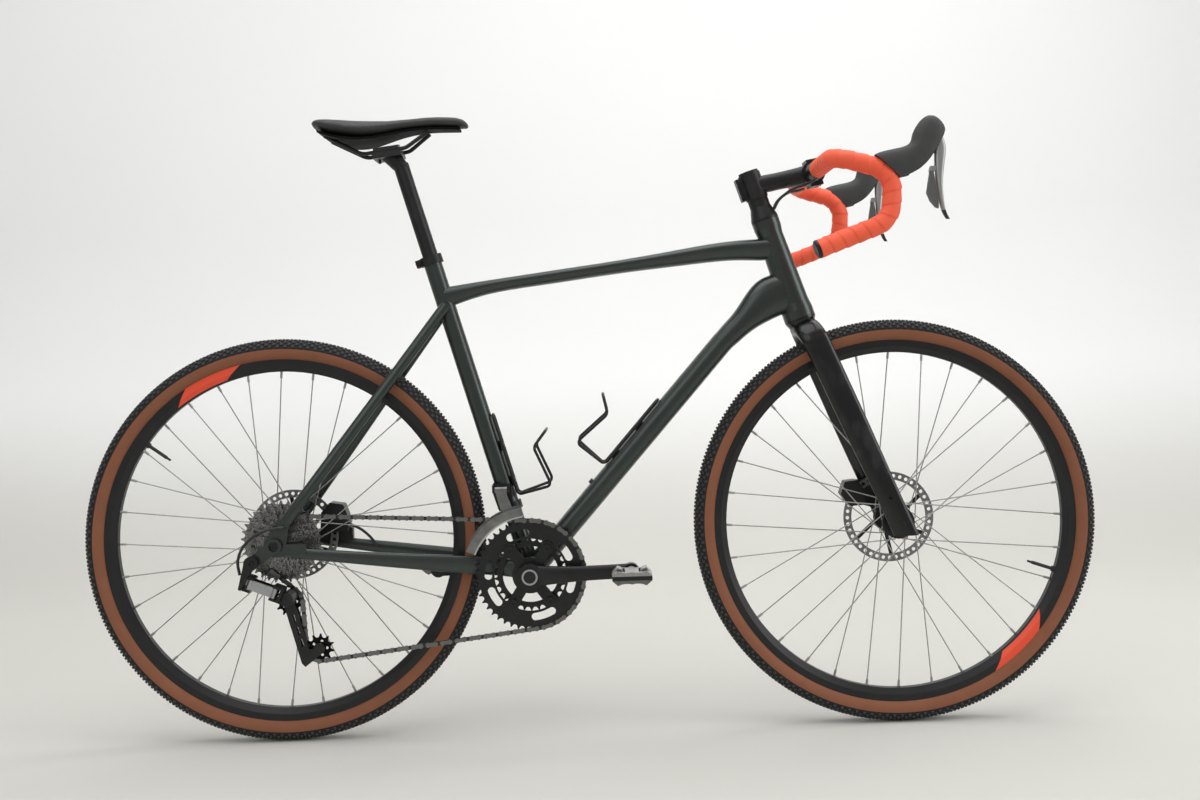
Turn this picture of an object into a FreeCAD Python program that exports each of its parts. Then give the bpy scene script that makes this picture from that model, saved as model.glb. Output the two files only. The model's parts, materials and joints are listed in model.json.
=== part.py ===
"""Gravel bike, built piece by piece in millimetres.

+X points forward, +Y to the rider's left, +Z up. The origin lies on the ground
below the crank axle. The drive side is the right side, at -Y.
"""
import FreeCAD, Part
import os
from math import acos, asin, atan2, ceil, copysign, cos, hypot, pi, radians, sin, sqrt, tan

V = FreeCAD.Vector

# Stance of the bike
WHEEL_RADIUS = 350.0
WHEELBASE = 1063.0
CHAINSTAY_LENGTH = 433.0
BB_DROP = 68.0
HEAD_ANGLE = 72.25
SEAT_ANGLE = 73.9
REACH = 427.3
STACK = 598.2

# Fits shared by many pieces
RUNNING_FIT = 0.05
SEAT_GAP = 0.02
SOFT_GAP = 0.3
THREAD_HOLE = 4.2
BOLT_SHANK = 5.0
BOLT_HEAD = 9.0
BOLT_HEAD_HEIGHT = 4.0

# Head tube and headset
HEAD_TUBE_LENGTH = 180.0
HEAD_TOP_DIAMETER = 48.0
HEAD_BOTTOM_DIAMETER = 55.0
HEAD_LIP_HEIGHT = 14.0
HEAD_WAIST_CUT = 2.0
UPPER_BEARING_DIAMETER = 41.8
LOWER_BEARING_DIAMETER = 49.0
BEARING_HEIGHT = 7.0
HEAD_WALL = 3.0
STEERER_DIAMETER = 28.6
STEERER_WALL = 3.0
CROWN_RACE_DIAMETER = 39.8

# Seat tube, seatpost and clamp
SEAT_TUBE_LENGTH = 573.0
SEAT_TUBE_DIAMETER = 31.8
SEATPOST_DIAMETER = 27.2
SEATPOST_WALL = 2.6
SEATPOST_SHOWN = 172.0
SEATPOST_INSERTED = 150.0
SEAT_COLLAR_DIAMETER = 39.0
SEAT_COLLAR_HEIGHT = 15.0

# Crank bearing shell
SHELL_WIDTH = 86.0
SHELL_DIAMETER = 47.0
SHELL_BORE = 41.0
SPINDLE_DIAMETER = 24.0
CUP_WIDTH = 10.0

# Top tube: height of its ends, and its depth and width along its length
TOP_TUBE_SEAT_HEIGHT = 500.0
TOP_TUBE_HEAD_DROP = 51.0
TOP_TUBE_BOW = 8.0
TOP_TUBE_SEAT_DEPTH = 38.0
TOP_TUBE_MID_DEPTH = 23.0
TOP_TUBE_HEAD_DEPTH = 39.0
TOP_TUBE_SEAT_WIDTH = 30.0
TOP_TUBE_WIDTH = 43.0
TUBE_WALL = 1.8

# Down tube
DOWN_TUBE_ANGLE = 48.3
DOWN_TUBE_STRAIGHT = 520.0
DOWN_TUBE_HEAD_RISE = 50.0
DOWN_TUBE_DEPTH = 38.0
TUBE_SQUARENESS = 2.4
DOWN_TUBE_WIDTH = 46.0
DOWN_TUBE_GUSSET_DEPTH = 74.0

# Stays and rear dropouts
STAY_TYRE_GAP = 5.0
STAY_END_STEP = 0.8
STAY_END_LAP = 1.2
CHAINSTAY_FRONT_DEPTH = 31.0
CHAINSTAY_REAR_DEPTH = 20.0
CHAINSTAY_SHELL_OFFSET = 25.5
CHAINSTAY_THICKNESS = 13.0
SEATSTAY_DEPTH = 19.0
SEATSTAY_THICKNESS = 15.0
SEATSTAY_DROP = 99.0
SEATSTAY_TOP_OFFSET = 15.0
SEATSTAY_AXLE_OFFSET = 9.0
STAY_BRIDGE_DIAMETER = 10.0
STAY_BRIDGE_RADIUS = 402.0
REAR_HUB_WIDTH = 142.0
DROPOUT_THICKNESS = 8.0
DROPOUT_RADIUS = 19.0
AXLE_DIAMETER = 12.0
AXLE_HEAD_DIAMETER = 17.0
HUB_AXLE_DIAMETER = 17.0

# Fork
FORK_CROWN_DROP = 17.0
FORK_CROWN_DEPTH = 46.0
FORK_CROWN_HEIGHT = 30.0
FORK_LEG_DEPTH = 40.0
FORK_LEG_THICKNESS = 15.0
FORK_SEAT_DEPTH = 0.6
FORK_SHOULDER_OFFSET = 38.0
FORK_SHOULDER_DROP = 34.0
FORK_SHOULDER_SWELL = 2.5
FORK_LEG_LEAD = 8.0
FORK_TIP_DROP = 19.0
FRONT_HUB_WIDTH = 100.0
FORK_EYELET_HEIGHT = 46.0
FORK_EYELET_DEPTH = 9.0

# Wheels
TYRE_WIDTH = 41.0
TYRE_CASING = 2.4
BEAD_RADIUS = 311.0
RIM_FLANGE_RADIUS = 317.0
RIM_INNER_RADIUS = 293.0
RIM_WIDTH = 25.0
RIM_WALL = 2.0
SPOKE_COUNT = 32
SPOKE_CROSSINGS = 3
SPOKE_DIAMETER = 2.0
NIPPLE_DIAMETER = 4.2
NIPPLE_LENGTH = 11.0
FLANGE_RADIUS = 28.0
FLANGE_THICKNESS = 3.2
HUB_BODY_RADIUS = 15.0
REAR_FLANGE_LEFT = 35.0
REAR_FLANGE_RIGHT = 20.0
FRONT_FLANGE_LEFT = 24.0
FRONT_FLANGE_RIGHT = 35.0
TUBE_SECTION_RADIUS = 13.5
TUBE_SKIN = 1.0
VALVE_DIAMETER = 6.0
VALVE_LENGTH = 42.0
REAR_VALVE_ANGLE = 144.0
FRONT_VALVE_ANGLE = -19.0
AXLE_CAP = 1.5

# Disc brakes
ROTOR_DIAMETER = 160.0
ROTOR_TRACK = 14.0
ROTOR_HOLES = 40
ROTOR_HOLE_DIAMETER = 6.4
ROTOR_THICKNESS = 1.8
REAR_ROTOR_INSET = 15.3
FRONT_ROTOR_INSET = 10.5
ROTOR_BOSS_RADIUS = 21.0
PAD_GAP = 0.5
CALIPER_WIDTH = 27.0
CALIPER_CORNER = 3.0
PAD_THICKNESS = 4.0
REAR_CALIPER_OUTLINE = ((50, 3), (98, 3), (103, 22), (92, 52), (68, 56), (52, 38))
REAR_CALIPER_FOOT = (((46, -12), (104, -16), (104, 8), (46, 8)), 61.0, 75.0)
FRONT_CALIPER_OUTLINE = ((-86, 44), (-72, 22), (-44, 24), (-40, 46), (-56, 68), (-78, 66))
FRONT_CALIPER_FOOT = (((-60, 26), (-20, 24), (-32, 66), (-66, 66)), 44.0, 60.0)

# Drivetrain
CHAIN_PITCH = 12.7
ROLLER_RADIUS = 3.85
CHAIN_OFFSET = 44.0
SPROCKET_THICKNESS = 1.8
INNER_PLATE_OFFSET = 1.1
PLATE_THICKNESS = 0.75
PLATE_HALF_HEIGHT = 4.2
BIG_RING_TEETH = 46
SMALL_RING_TEETH = 30
RING_SPACING = 6.5
RING_BOLT_CIRCLE = 110.0
BIG_RING_BAND = 27.5
RING_WINDOW_HEIGHT = 13.0
RING_WINDOW_STEP = 4.0
RING_TAB_ROOT = 3.0
RING_WINDOWS = ((-16, 8), (30, 9), (104, 11), (170, 8), (208, 9), (285, 12))
COG_TEETH = (11, 13, 15, 17, 19, 21, 23, 25, 27, 30, 34)
COG_IN_USE = 6
COG_SPACING = 3.74
FREEHUB_RADIUS = 17.4
PULLEY_TEETH = 11
PULLEY_BOLT_DIAMETER = 6.0
CRANK_LENGTH = 172.5
CRANK_RISE_ANGLE = 2.0
CRANK_TREAD = 151.0
CRANK_ARM_THICKNESS = 13.0
CRANK_ARM_DEPTH = 27.0
CRANK_BOSS_RADIUS = 22.0
PEDAL_AXLE_DIAMETER = 14.0
PEDAL_LENGTH = 66.0
PEDAL_HEIGHT = 30.0
PEDAL_WIDTH = 58.0
SPIDER_THICKNESS = 4.5
SPIDER_ANGLES = (55, 125, 235, 305)
SPIDER_TAB_RADIUS = 11.0
RING_BOLT_DIAMETER = 8.0
SMALL_RING_BOLT_RADIUS = 40.0
CRANK_CAP = 2.5

# Rear derailleur, as offsets from the rear axle in the side view
HANGER_BOLT = (-37.5, -26.0)
LINK_TOP = (-42.5, -62.0)
LINK_BOTTOM = (-1.5, -78.0)
CAGE_PIVOT = (17.5, -90.0)
GUIDE_PULLEY = (13.5, -101.0)
TENSION_PULLEY = (63.0, -182.0)
LINK_SPREAD = 15.0
LINK_THICKNESS = 4.0
LINK_HEIGHT = 17.0
LINK_PIN_DIAMETER = 4.0
KNUCKLE_RADIUS = 12.0
CAGE_PLATE_GAP = 11.5
CAGE_PLATE_THICKNESS = 2.0
CAGE_ARM_HALF = 9.5
CAGE_FOOT = 27.0
CAGE_HEEL = 17.0
CAGE_SLOT_PLACES = (0.30, 0.52, 0.74)
CAGE_SLOT_LENGTH = 14.0
CAGE_SLOT_WIDTH = 5.0
LUG_THICKNESS = 4.0
BARREL_RADIUS = 4.5
PIVOT_STUB = 7.0

# Front derailleur
FRONT_MOUNT_HEIGHT = 118.0
FRONT_SWING_OFFSET = 31.0
FRONT_SWING_RISE = 146.0
FRONT_SWING_SETBACK = 52.0
FRONT_CAGE_CLEARANCE = 2.5
FRONT_CAGE_DEPTH = 17.0
FRONT_CAGE_GAP = 11.0

# Cockpit
STEM_LENGTH = 105.0
STEM_DROP_ANGLE = 7.4
STEM_CLAMP_HEIGHT = 46.0
STEM_BODY_DEPTH = 33.0
SPACER_HEIGHT = 40.0
SPACER_DIAMETER = 36.0
BAR_CLAMP_DIAMETER = 31.8
BAR_DIAMETER = 24.0
TAPE_THICKNESS = 3.2
BAR_TOP_HALF_WIDTH = 205.0
BAR_REACH = 92.0
BAR_RAMP_FALL = 27.0
BAR_DROP = 106.0
BAR_HOOK_LENGTH = 117.0
BAR_END_FALL = 42.0
BAR_FLARE = 16.0
BAR_BEND_RADIUS = 42.0
TAPE_START = 62.0
BAR_WALL = 2.4
HOSE_DIAMETER = 5.0
LEVER_WIDTH = 13.0
LEVER_PIN_DIAMETER = 5.0
STEM_CLAMP_RADIUS = 19.5
BAR_CLAMP_HALF_WIDTH = 21.0
COVER_HEIGHT = 25.0
HOOD_SECTIONS = (
    ((63, -1), (101, -39), 29),
    ((92, 7), (121, -34), 32),
    ((117, 14), (146, -16), 34),
    ((125, 32), (170, 19), 33),
    ((134, 47), (175, 38), 29),
    ((141, 54), (169, 49), 22),
    ((149, 58), (160, 57), 9),
)
LEVER_SLOT = ((140, 33), (200, 33), (200, -45), (112, -45))
LEVER_PIVOT = (160.0, 19.0)
LEVER_STATIONS = (
    (163, 27, 6.0, 5.5),
    (166.5, 2, 9.0, 6.0),
    (164, -37, 6.2, 6.5),
    (167, -82, 3.6, 6.0),
    (171, -97, 3.2, 4.8),
    (176, -106, 3.0, 3.5),
)
PADDLE_OUTLINE = ((-3, -1), (3, -1), (5, -14), (6.5, -28), (9.5, -50), (9, -59), (4, -57), (-4, -47),
                  (-9, -34), (-7, -22))
LEVER_SLOT_GAP = 1.5
PADDLE_AXIS_X = 152.0
PADDLE_TOP = -30.0
PADDLE_PIN_DIAMETER = 3.0

# Saddle
SADDLE_LENGTH = 270.0
SADDLE_TAIL = 126.4
SADDLE_WIDTH = 146.0
SADDLE_STACK = 59.2
RAIL_DIAMETER = 7.0
RAIL_SPACING = 44.0
RAIL_TILT = 6.8
CLAMP_SETBACK = 21.0
CLAMP_RISE = 22.0
CLAMP_HALF_LENGTH = 25.0
CLAMP_HALF_WIDTH = 27.0
SHELL_THICKNESS = 4.0
SADDLE_STATIONS = (
    (0.0, 0.60, 8.0, 18.0),
    (0.05, 0.86, 3.0, 24.0),
    (0.16, 1.0, 6.0, 35.0),
    (0.3, 0.9, 9.5, 39.0),
    (0.45, 0.61, 7.5, 33.0),
    (0.6, 0.42, 4.0, 24.0),
    (0.79, 0.31, 0.0, 20.0),
    (0.94, 0.26, 2.0, 21.0),
    (1.0, 0.15, 12.0, 23.0),
)

# Bottle cages
BOSS_SPACING = 64.0
SEAT_BOSS_DISTANCE = 160.0
DOWN_BOSS_DISTANCE = 250.0
CAGE_ROD_DIAMETER = 5.0
BOTTLE_DIAMETER = 74.0
CAGE_TAB_THICKNESS = 2.0
BOLT_ROOM = 12.0
BOSS_SHANK = 9.0

# Places that the rest is built from
UP = V(0, 0, 1)
LEFT = V(0, 1, 0)
BB = V(0, 0, WHEEL_RADIUS - BB_DROP)
REAR_AXLE = V(-sqrt(CHAINSTAY_LENGTH ** 2 - BB_DROP ** 2), 0, WHEEL_RADIUS)
FRONT_AXLE = REAR_AXLE + V(WHEELBASE, 0, 0)
HEAD_UP = V(-cos(radians(HEAD_ANGLE)), 0, sin(radians(HEAD_ANGLE)))
HEAD_FORWARD = V(HEAD_UP.z, 0, -HEAD_UP.x)
HEAD_TOP = BB + V(REACH, 0, STACK)
HEAD_BOTTOM = HEAD_TOP - HEAD_UP * HEAD_TUBE_LENGTH
SEAT_UP = V(-cos(radians(SEAT_ANGLE)), 0, sin(radians(SEAT_ANGLE)))
SEAT_FORWARD = V(SEAT_UP.z, 0, -SEAT_UP.x)
DROPOUT_INNER = REAR_HUB_WIDTH / 2
FORK_INNER = FRONT_HUB_WIDTH / 2
OVAL_POINTS = 16
LOFT_STEPS = 10
REAR_ROTOR_PLANE = DROPOUT_INNER - REAR_ROTOR_INSET
FRONT_ROTOR_PLANE = FORK_INNER - FRONT_ROTOR_INSET
RING_FACE = CHAIN_OFFSET + SPROCKET_THICKNESS / 2
ARM_ROOT_INNER = SHELL_WIDTH / 2 + 1.5
ARM_TIP_OUTER = CRANK_TREAD / 2
LINK_PLANE = DROPOUT_INNER + DROPOUT_THICKNESS / 2 + 2
LINK_ALONG = V(LINK_BOTTOM[0] - LINK_TOP[0], 0, LINK_BOTTOM[1] - LINK_TOP[1]).normalize()
LINK_AXIS = V(-LINK_ALONG.z, 0, LINK_ALONG.x)
HANGER_OUTER = DROPOUT_INNER + DROPOUT_THICKNESS + 6
CAGE_OUTER_PLATE = CHAIN_OFFSET + CAGE_PLATE_GAP / 2
STEM_ANGLE = radians(90 - HEAD_ANGLE - STEM_DROP_ANGLE)
STEM_FORWARD = V(cos(STEM_ANGLE), 0, sin(STEM_ANGLE))
STEM_UP = V(-STEM_FORWARD.z, 0, STEM_FORWARD.x)
STEM_BASE = HEAD_TOP + HEAD_UP * SPACER_HEIGHT
STEM_CENTRE = STEM_BASE + HEAD_UP * (STEM_CLAMP_HEIGHT / 2)
BAR_CENTRE = STEM_CENTRE + STEM_FORWARD * STEM_LENGTH
BAR_CLAMP_RADIUS = BAR_CLAMP_DIAMETER / 2 + 4.6
BAR_SHOULDER = TAPE_START - 4
HOOD_PLANE = BAR_TOP_HALF_WIDTH + BAR_FLARE * 0.4
SEAT_TOP = BB + SEAT_UP * SEAT_TUBE_LENGTH
SEATSTAY_TOP = SEAT_TOP - SEAT_UP * SEATSTAY_DROP
POST_TOP = SEAT_TOP + SEAT_UP * SEATPOST_SHOWN
RAIL_ALONG = V(cos(radians(RAIL_TILT)), 0, sin(radians(RAIL_TILT)))
RAIL_UP = V(-RAIL_ALONG.z, 0, RAIL_ALONG.x)
CLAMP_CENTRE = POST_TOP + V(-CLAMP_SETBACK, 0, CLAMP_RISE)
SADDLE_REAR = CLAMP_CENTRE.x - SADDLE_TAIL
SADDLE_HEIGHT = CLAMP_CENTRE.z + SADDLE_STACK


def side(x, z, y=0.0):
    """A point given in the side view, with its sideways place last."""
    return V(x, y, z)


def from_rear_axle(offset, y=0.0):
    return REAR_AXLE + V(offset[0], y, offset[1])


def unit(vector):
    return vector * (1 / vector.Length)


def mirrored(shape):
    return shape.mirror(V(0, 0, 0), LEFT)


def both_sides(shape):
    return [shape, mirrored(shape)]


def fused(shapes):
    return shapes[0].multiFuse(shapes[1:]).removeSplitter()


def cut_all(shape, tools):
    return shape.cut(list(tools))


def cylinder(start, end, radius):
    axis = end - start
    return Part.makeCylinder(radius, axis.Length, start, axis)


def across(centre, half_length, radius):
    """A cylinder along Y, the same length to both sides of its centre."""
    return cylinder(centre - LEFT * half_length, centre + LEFT * half_length, radius)


def cross_cylinder(centre, y_start, y_end, radius):
    """A cylinder along Y between two sideways places."""
    start = V(centre.x, min(y_start, y_end), centre.z)
    return Part.makeCylinder(radius, abs(y_end - y_start), start, LEFT)


def cross_ring(centre, y_start, y_end, outer, inner):
    return cross_cylinder(centre, y_start, y_end, outer).cut(cross_cylinder(centre, y_start, y_end, inner))


def turned(outline, centre, axis):
    """A turned solid: the outline lists (place along the axis, radius)."""
    corners = [V(radius, 0, along) for along, radius in outline]
    face = Part.Face(Part.makePolygon(corners + corners[:1]))
    solid = face.revolve(V(0, 0, 0), UP, 360)
    solid.Placement = FreeCAD.Placement(centre, FreeCAD.Rotation(UP, axis))
    return solid


def oval(centre, wide, tall, half_width, half_height, squareness=2.0, pinch=0.0):
    """A closed rounded section; pinch makes its lower side narrower."""
    points = []
    for step in range(OVAL_POINTS):
        turn = 2 * pi * step / OVAL_POINTS
        w = copysign(abs(cos(turn)) ** (2 / squareness), cos(turn))
        h = copysign(abs(sin(turn)) ** (2 / squareness), sin(turn))
        points.append(centre + wide * (half_width * w * (1 + pinch * h)) + tall * (half_height * h))
    curve = Part.BSplineCurve()
    curve.interpolate(points, PeriodicFlag=True)
    return Part.Wire([curve.toShape()])


def loft(sections):
    return Part.makeLoft(sections, True, False)


def eased_value(places, values, place):
    """A smooth curve through the values that never runs past them."""

    def slope(k):
        return (values[k + 1] - values[k]) / (places[k + 1] - places[k])

    def tangent(k):
        before = slope(max(k - 1, 0))
        after = slope(min(k, len(places) - 2))
        if before * after <= 0:
            return 0.0
        return 2 * before * after / (before + after)

    k = max(index for index in range(len(places) - 1) if places[index] <= place)
    gap = places[k + 1] - places[k]
    t = (place - places[k]) / gap
    start = (1 + 2 * t) * (1 - t) ** 2 * values[k] + t * (1 - t) ** 2 * gap * tangent(k)
    end = t ** 2 * (3 - 2 * t) * values[k + 1] + t ** 2 * (t - 1) * gap * tangent(k + 1)
    return start + end


def eased(stations, steps):
    """Evenly spaced rows through stations of (place, value, value and so on)."""
    places, *columns = zip(*stations)
    rows = []
    for step in range(steps + 1):
        place = places[0] + (places[-1] - places[0]) * step / steps
        rows.append([place] + [eased_value(places, column, place) for column in columns])
    return rows


def plate(points, y_start, y_end):
    """A flat plate: corners in the side view, between two sideways places."""
    corners = [side(x, z, y_start) for x, z in points]
    face = Part.Face(Part.makePolygon(corners + corners[:1]))
    return face.extrude(V(0, y_end - y_start, 0))


def rounded_path(points, radii):
    """Straight runs joined by tangent arcs, one radius for each inner point."""
    edges = []
    start = points[0]
    for index, radius in enumerate(radii):
        before, corner, after = points[index:index + 3]
        into = unit(corner - before)
        out = unit(after - corner)
        half_turn = acos(into.dot(out)) / 2
        reach = radius * tan(half_turn)
        middle = corner + unit(out - into) * (radius / cos(half_turn) - radius)
        edges.append(Part.LineSegment(start, corner - into * reach).toShape())
        edges.append(Part.Arc(corner - into * reach, middle, corner + out * reach).toShape())
        start = corner + out * reach
    edges.append(Part.LineSegment(start, points[-1]).toShape())
    return Part.Wire(edges)


def rod(path, radius):
    """A round rod along a path."""
    first = path.Edges[0]
    start = first.valueAt(first.FirstParameter)
    circle = Part.Circle(start, first.tangentAt(first.FirstParameter), radius)
    return path.makePipeShell([Part.Wire([circle.toShape()])], True, False)


def bolt(seat, outward, shank_length, shank=BOLT_SHANK, head=BOLT_HEAD):
    """A button-head bolt whose head sits on a seat, with its key hole."""
    body = cylinder(seat - outward * shank_length, seat, shank / 2)
    top = cylinder(seat, seat + outward * BOLT_HEAD_HEIGHT, head / 2)
    key = cylinder(seat + outward * (BOLT_HEAD_HEIGHT / 2), seat + outward * BOLT_HEAD_HEIGHT, head / 4)
    return body.fuse(top).cut(key)


def save(name, *shapes):
    solids = [solid for shape in shapes for solid in shape.Solids]
    shape = solids[0] if len(solids) == 1 else Part.makeCompound(solids)
    shape.exportStep("parts/" + name + ".step")
    print(name, len(solids), "solids", round(sum(solid.Volume for solid in solids)), "mm3")


# Frame tubes

def head_tube_outer():
    top = HEAD_TOP_DIAMETER / 2
    bottom = HEAD_BOTTOM_DIAMETER / 2
    waist_low = HEAD_LIP_HEIGHT * 2
    waist_high = HEAD_TUBE_LENGTH - HEAD_LIP_HEIGHT * 2
    outline = [
        (0, 0),
        (0, bottom),
        (HEAD_LIP_HEIGHT, bottom),
        (waist_low, bottom - HEAD_WAIST_CUT),
        (waist_high, top - HEAD_WAIST_CUT),
        (HEAD_TUBE_LENGTH - HEAD_LIP_HEIGHT, top),
        (HEAD_TUBE_LENGTH, top),
        (HEAD_TUBE_LENGTH, 0),
    ]
    return turned(outline, HEAD_BOTTOM, HEAD_UP)


def head_tube_bore():
    upper = UPPER_BEARING_DIAMETER / 2
    lower = LOWER_BEARING_DIAMETER / 2
    shelf_low = BEARING_HEIGHT
    shelf_high = HEAD_TUBE_LENGTH - BEARING_HEIGHT
    outline = [
        (0, 0),
        (0, lower),
        (shelf_low, lower),
        (shelf_low, lower - HEAD_WALL),
        (shelf_high, upper - HEAD_WALL),
        (shelf_high, upper),
        (HEAD_TUBE_LENGTH, upper),
        (HEAD_TUBE_LENGTH, 0),
    ]
    return turned(outline, HEAD_BOTTOM, HEAD_UP)


def top_tube_section(share, depth, width, bow, wall):
    start = BB + SEAT_UP * TOP_TUBE_SEAT_HEIGHT
    end = HEAD_TOP - HEAD_UP * TOP_TUBE_HEAD_DROP
    centre = start + (end - start) * share + UP * bow
    return oval(centre, LEFT, UP, width / 2 - wall, depth / 2 - wall, 2.6, 0.16)


def top_tube_solid(wall):
    stations = [
        (0.0, TOP_TUBE_SEAT_DEPTH, TOP_TUBE_SEAT_WIDTH, 0.0),
        (0.17, TOP_TUBE_MID_DEPTH, (TOP_TUBE_SEAT_WIDTH + TOP_TUBE_WIDTH) / 2, TOP_TUBE_BOW),
        (0.48, TOP_TUBE_MID_DEPTH, TOP_TUBE_WIDTH, TOP_TUBE_BOW),
        (0.78, (TOP_TUBE_MID_DEPTH + TOP_TUBE_HEAD_DEPTH) / 2, TOP_TUBE_WIDTH, TOP_TUBE_BOW),
        (1.0, TOP_TUBE_HEAD_DEPTH, HEAD_TOP_DIAMETER - HEAD_LIP_HEIGHT / 2, 0.0),
    ]
    return loft([top_tube_section(*row, wall) for row in eased(stations, LOFT_STEPS)])


def down_tube_axes():
    """Direction along the down tube, and the way square to it and upward."""
    along = V(cos(radians(DOWN_TUBE_ANGLE)), 0, sin(radians(DOWN_TUBE_ANGLE)))
    return along, V(-along.z, 0, along.x)


def down_tube_solid(wall):
    """Straight tube that deepens into a gusset where it meets the head tube."""
    along, upward = down_tube_axes()
    head = HEAD_BOTTOM + HEAD_UP * DOWN_TUBE_HEAD_RISE
    kink = BB + along * DOWN_TUBE_STRAIGHT
    half_width = DOWN_TUBE_WIDTH / 2 - wall
    half_depth = DOWN_TUBE_DEPTH / 2 - wall
    gusset = DOWN_TUBE_GUSSET_DEPTH / 2 - wall
    straight = loft([oval(place, LEFT, upward, half_width, half_depth, TUBE_SQUARENESS)
                     for place in (BB, kink)])
    flare = head - HEAD_FORWARD * (HEAD_BOTTOM_DIAMETER * 0.7)
    stations = [
        (0.0, kink.x, kink.z, 0.0, half_depth),
        (0.3, kink.x + (flare.x - kink.x) * 0.4, kink.z + (flare.z - kink.z) * 0.42, 0.15, half_depth + 3),
        (0.72, flare.x, flare.z, 0.8, gusset - 1),
        (1.0, head.x, head.z, 1.0, gusset),
    ]
    sections = []
    for _, x, z, lean, depth in eased(stations, LOFT_STEPS):
        tall = unit(upward * (1 - lean) + HEAD_UP * lean)
        sections.append(oval(side(x, z), LEFT, tall, half_width, depth, TUBE_SQUARENESS))
    return fused([straight, loft(sections)])


def seat_tube_solids():
    top = BB + SEAT_UP * SEAT_TUBE_LENGTH
    outer = cylinder(BB, top, SEAT_TUBE_DIAMETER / 2)
    bore = cylinder(BB, top, SEATPOST_DIAMETER / 2 + RUNNING_FIT)
    return outer, bore


def shell_solids():
    outer = across(BB, SHELL_WIDTH / 2, SHELL_DIAMETER / 2)
    bore = across(BB, SHELL_WIDTH / 2, SHELL_BORE / 2)
    return outer, bore


def stay_frame(start, end):
    """Along and upward directions of a stay in the side view."""
    along = unit(V(end.x - start.x, 0, end.z - start.z))
    upward = V(-along.z, 0, along.x)
    return along, upward * copysign(1, upward.z)


def chainstay():
    """The right chainstay, squeezed past the tyre and the small ring."""
    start = side(BB.x, BB.z + 5, -CHAINSTAY_SHELL_OFFSET)
    run = REAR_AXLE.x
    half = CHAINSTAY_THICKNESS / 2
    tyre_side = TYRE_WIDTH / 2 + STAY_TYRE_GAP + half
    rear_y = DROPOUT_INNER + DROPOUT_THICKNESS / 2
    stations = [
        (0.0, CHAINSTAY_SHELL_OFFSET, CHAINSTAY_FRONT_DEPTH, half),
        (0.14, CHAINSTAY_SHELL_OFFSET, CHAINSTAY_FRONT_DEPTH, half),
        (0.24, tyre_side, CHAINSTAY_FRONT_DEPTH, half),
        (0.5, (tyre_side + rear_y) / 2, (CHAINSTAY_FRONT_DEPTH + CHAINSTAY_REAR_DEPTH) / 2, half),
        (0.78, rear_y - half, CHAINSTAY_REAR_DEPTH, half),
        (0.94, rear_y, CHAINSTAY_REAR_DEPTH - 2, DROPOUT_THICKNESS / 2 - STAY_END_STEP),
    ]
    rise = REAR_AXLE.z - 9 - start.z
    sections = []
    for share, y, depth, thin in eased(stations, LOFT_STEPS):
        centre = side(run * share, start.z + rise * share, -y)
        sections.append(oval(centre, LEFT, UP, thin, depth / 2, 2.6))
    return loft(sections)


def seatstay():
    """The right seatstay, from the side of the seat tube to the dropout."""
    top = SEATSTAY_TOP
    along, upward = stay_frame(REAR_AXLE, top)
    span = hypot(top.x - REAR_AXLE.x, top.z - REAR_AXLE.z)
    clear = TYRE_WIDTH / 2 + STAY_TYRE_GAP + SEATSTAY_THICKNESS / 2
    rear_y = DROPOUT_INNER + DROPOUT_THICKNESS / 2
    half = SEATSTAY_THICKNESS / 2
    stations = [
        (0.06, rear_y, DROPOUT_THICKNESS / 2 + STAY_END_LAP),
        (0.2, rear_y - half / 2, half),
        (0.45, (clear + rear_y) / 2, half),
        (WHEEL_RADIUS / span, clear, half),
        (1.02, SEATSTAY_TOP_OFFSET, half),
    ]
    sections = []
    for share, y, thin in eased(stations, LOFT_STEPS):
        centre = REAR_AXLE + upward * SEATSTAY_AXLE_OFFSET + along * (span * share) - LEFT * y
        sections.append(oval(centre, LEFT, upward, thin, SEATSTAY_DEPTH / 2))
    return loft(sections)


def stay_bridge():
    top = SEATSTAY_TOP
    along, upward = stay_frame(REAR_AXLE, top)
    centre = REAR_AXLE + upward * SEATSTAY_AXLE_OFFSET + along * STAY_BRIDGE_RADIUS
    return across(centre, TYRE_WIDTH / 2 + STAY_TYRE_GAP, STAY_BRIDGE_DIAMETER / 2)


def dropout():
    """The right dropout plate, with lugs for both stays and the axle hole."""
    inner = -DROPOUT_INNER
    outer = inner - DROPOUT_THICKNESS
    disc = cross_cylinder(REAR_AXLE, inner, outer, DROPOUT_RADIUS)
    x, z = REAR_AXLE.x, REAR_AXLE.z
    half = DROPOUT_RADIUS
    lower = plate([(x, z + 4), (x + 52, z + 1), (x + 52, z - 17), (x - 4, z - half)], inner, outer)
    upper = plate([(x - 19, z + 6), (x + 8, z + 48), (x + 25, z + 37), (x + half, z)], inner, outer)
    solid = fused([disc, lower, upper])
    return solid.cut(cross_cylinder(REAR_AXLE, inner, outer, AXLE_DIAMETER / 2 + RUNNING_FIT))


def derailleur_hanger():
    """The hanger below and behind the axle that carries the derailleur."""
    inner = -DROPOUT_INNER - DROPOUT_THICKNESS
    outer = inner - 6
    bolt_place = from_rear_axle(HANGER_BOLT)
    eye = cross_cylinder(bolt_place, inner, outer, 9)
    x, z = REAR_AXLE.x, REAR_AXLE.z
    bx, bz = bolt_place.x, bolt_place.z
    arm = plate([(x - 8, z + 10), (x + 9, z - 8), (bx + 3, bz - 9), (bx - 7, bz + 6)], inner, outer)
    base = cross_cylinder(REAR_AXLE, inner, outer, 13)
    solid = fused([base, arm, eye])
    hole = cross_cylinder(REAR_AXLE, inner, outer, AXLE_HEAD_DIAMETER / 2 + SOFT_GAP)
    return cut_all(solid, [hole, cross_cylinder(bolt_place, inner, outer, BOLT_HEAD / 2 + RUNNING_FIT)])


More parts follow.
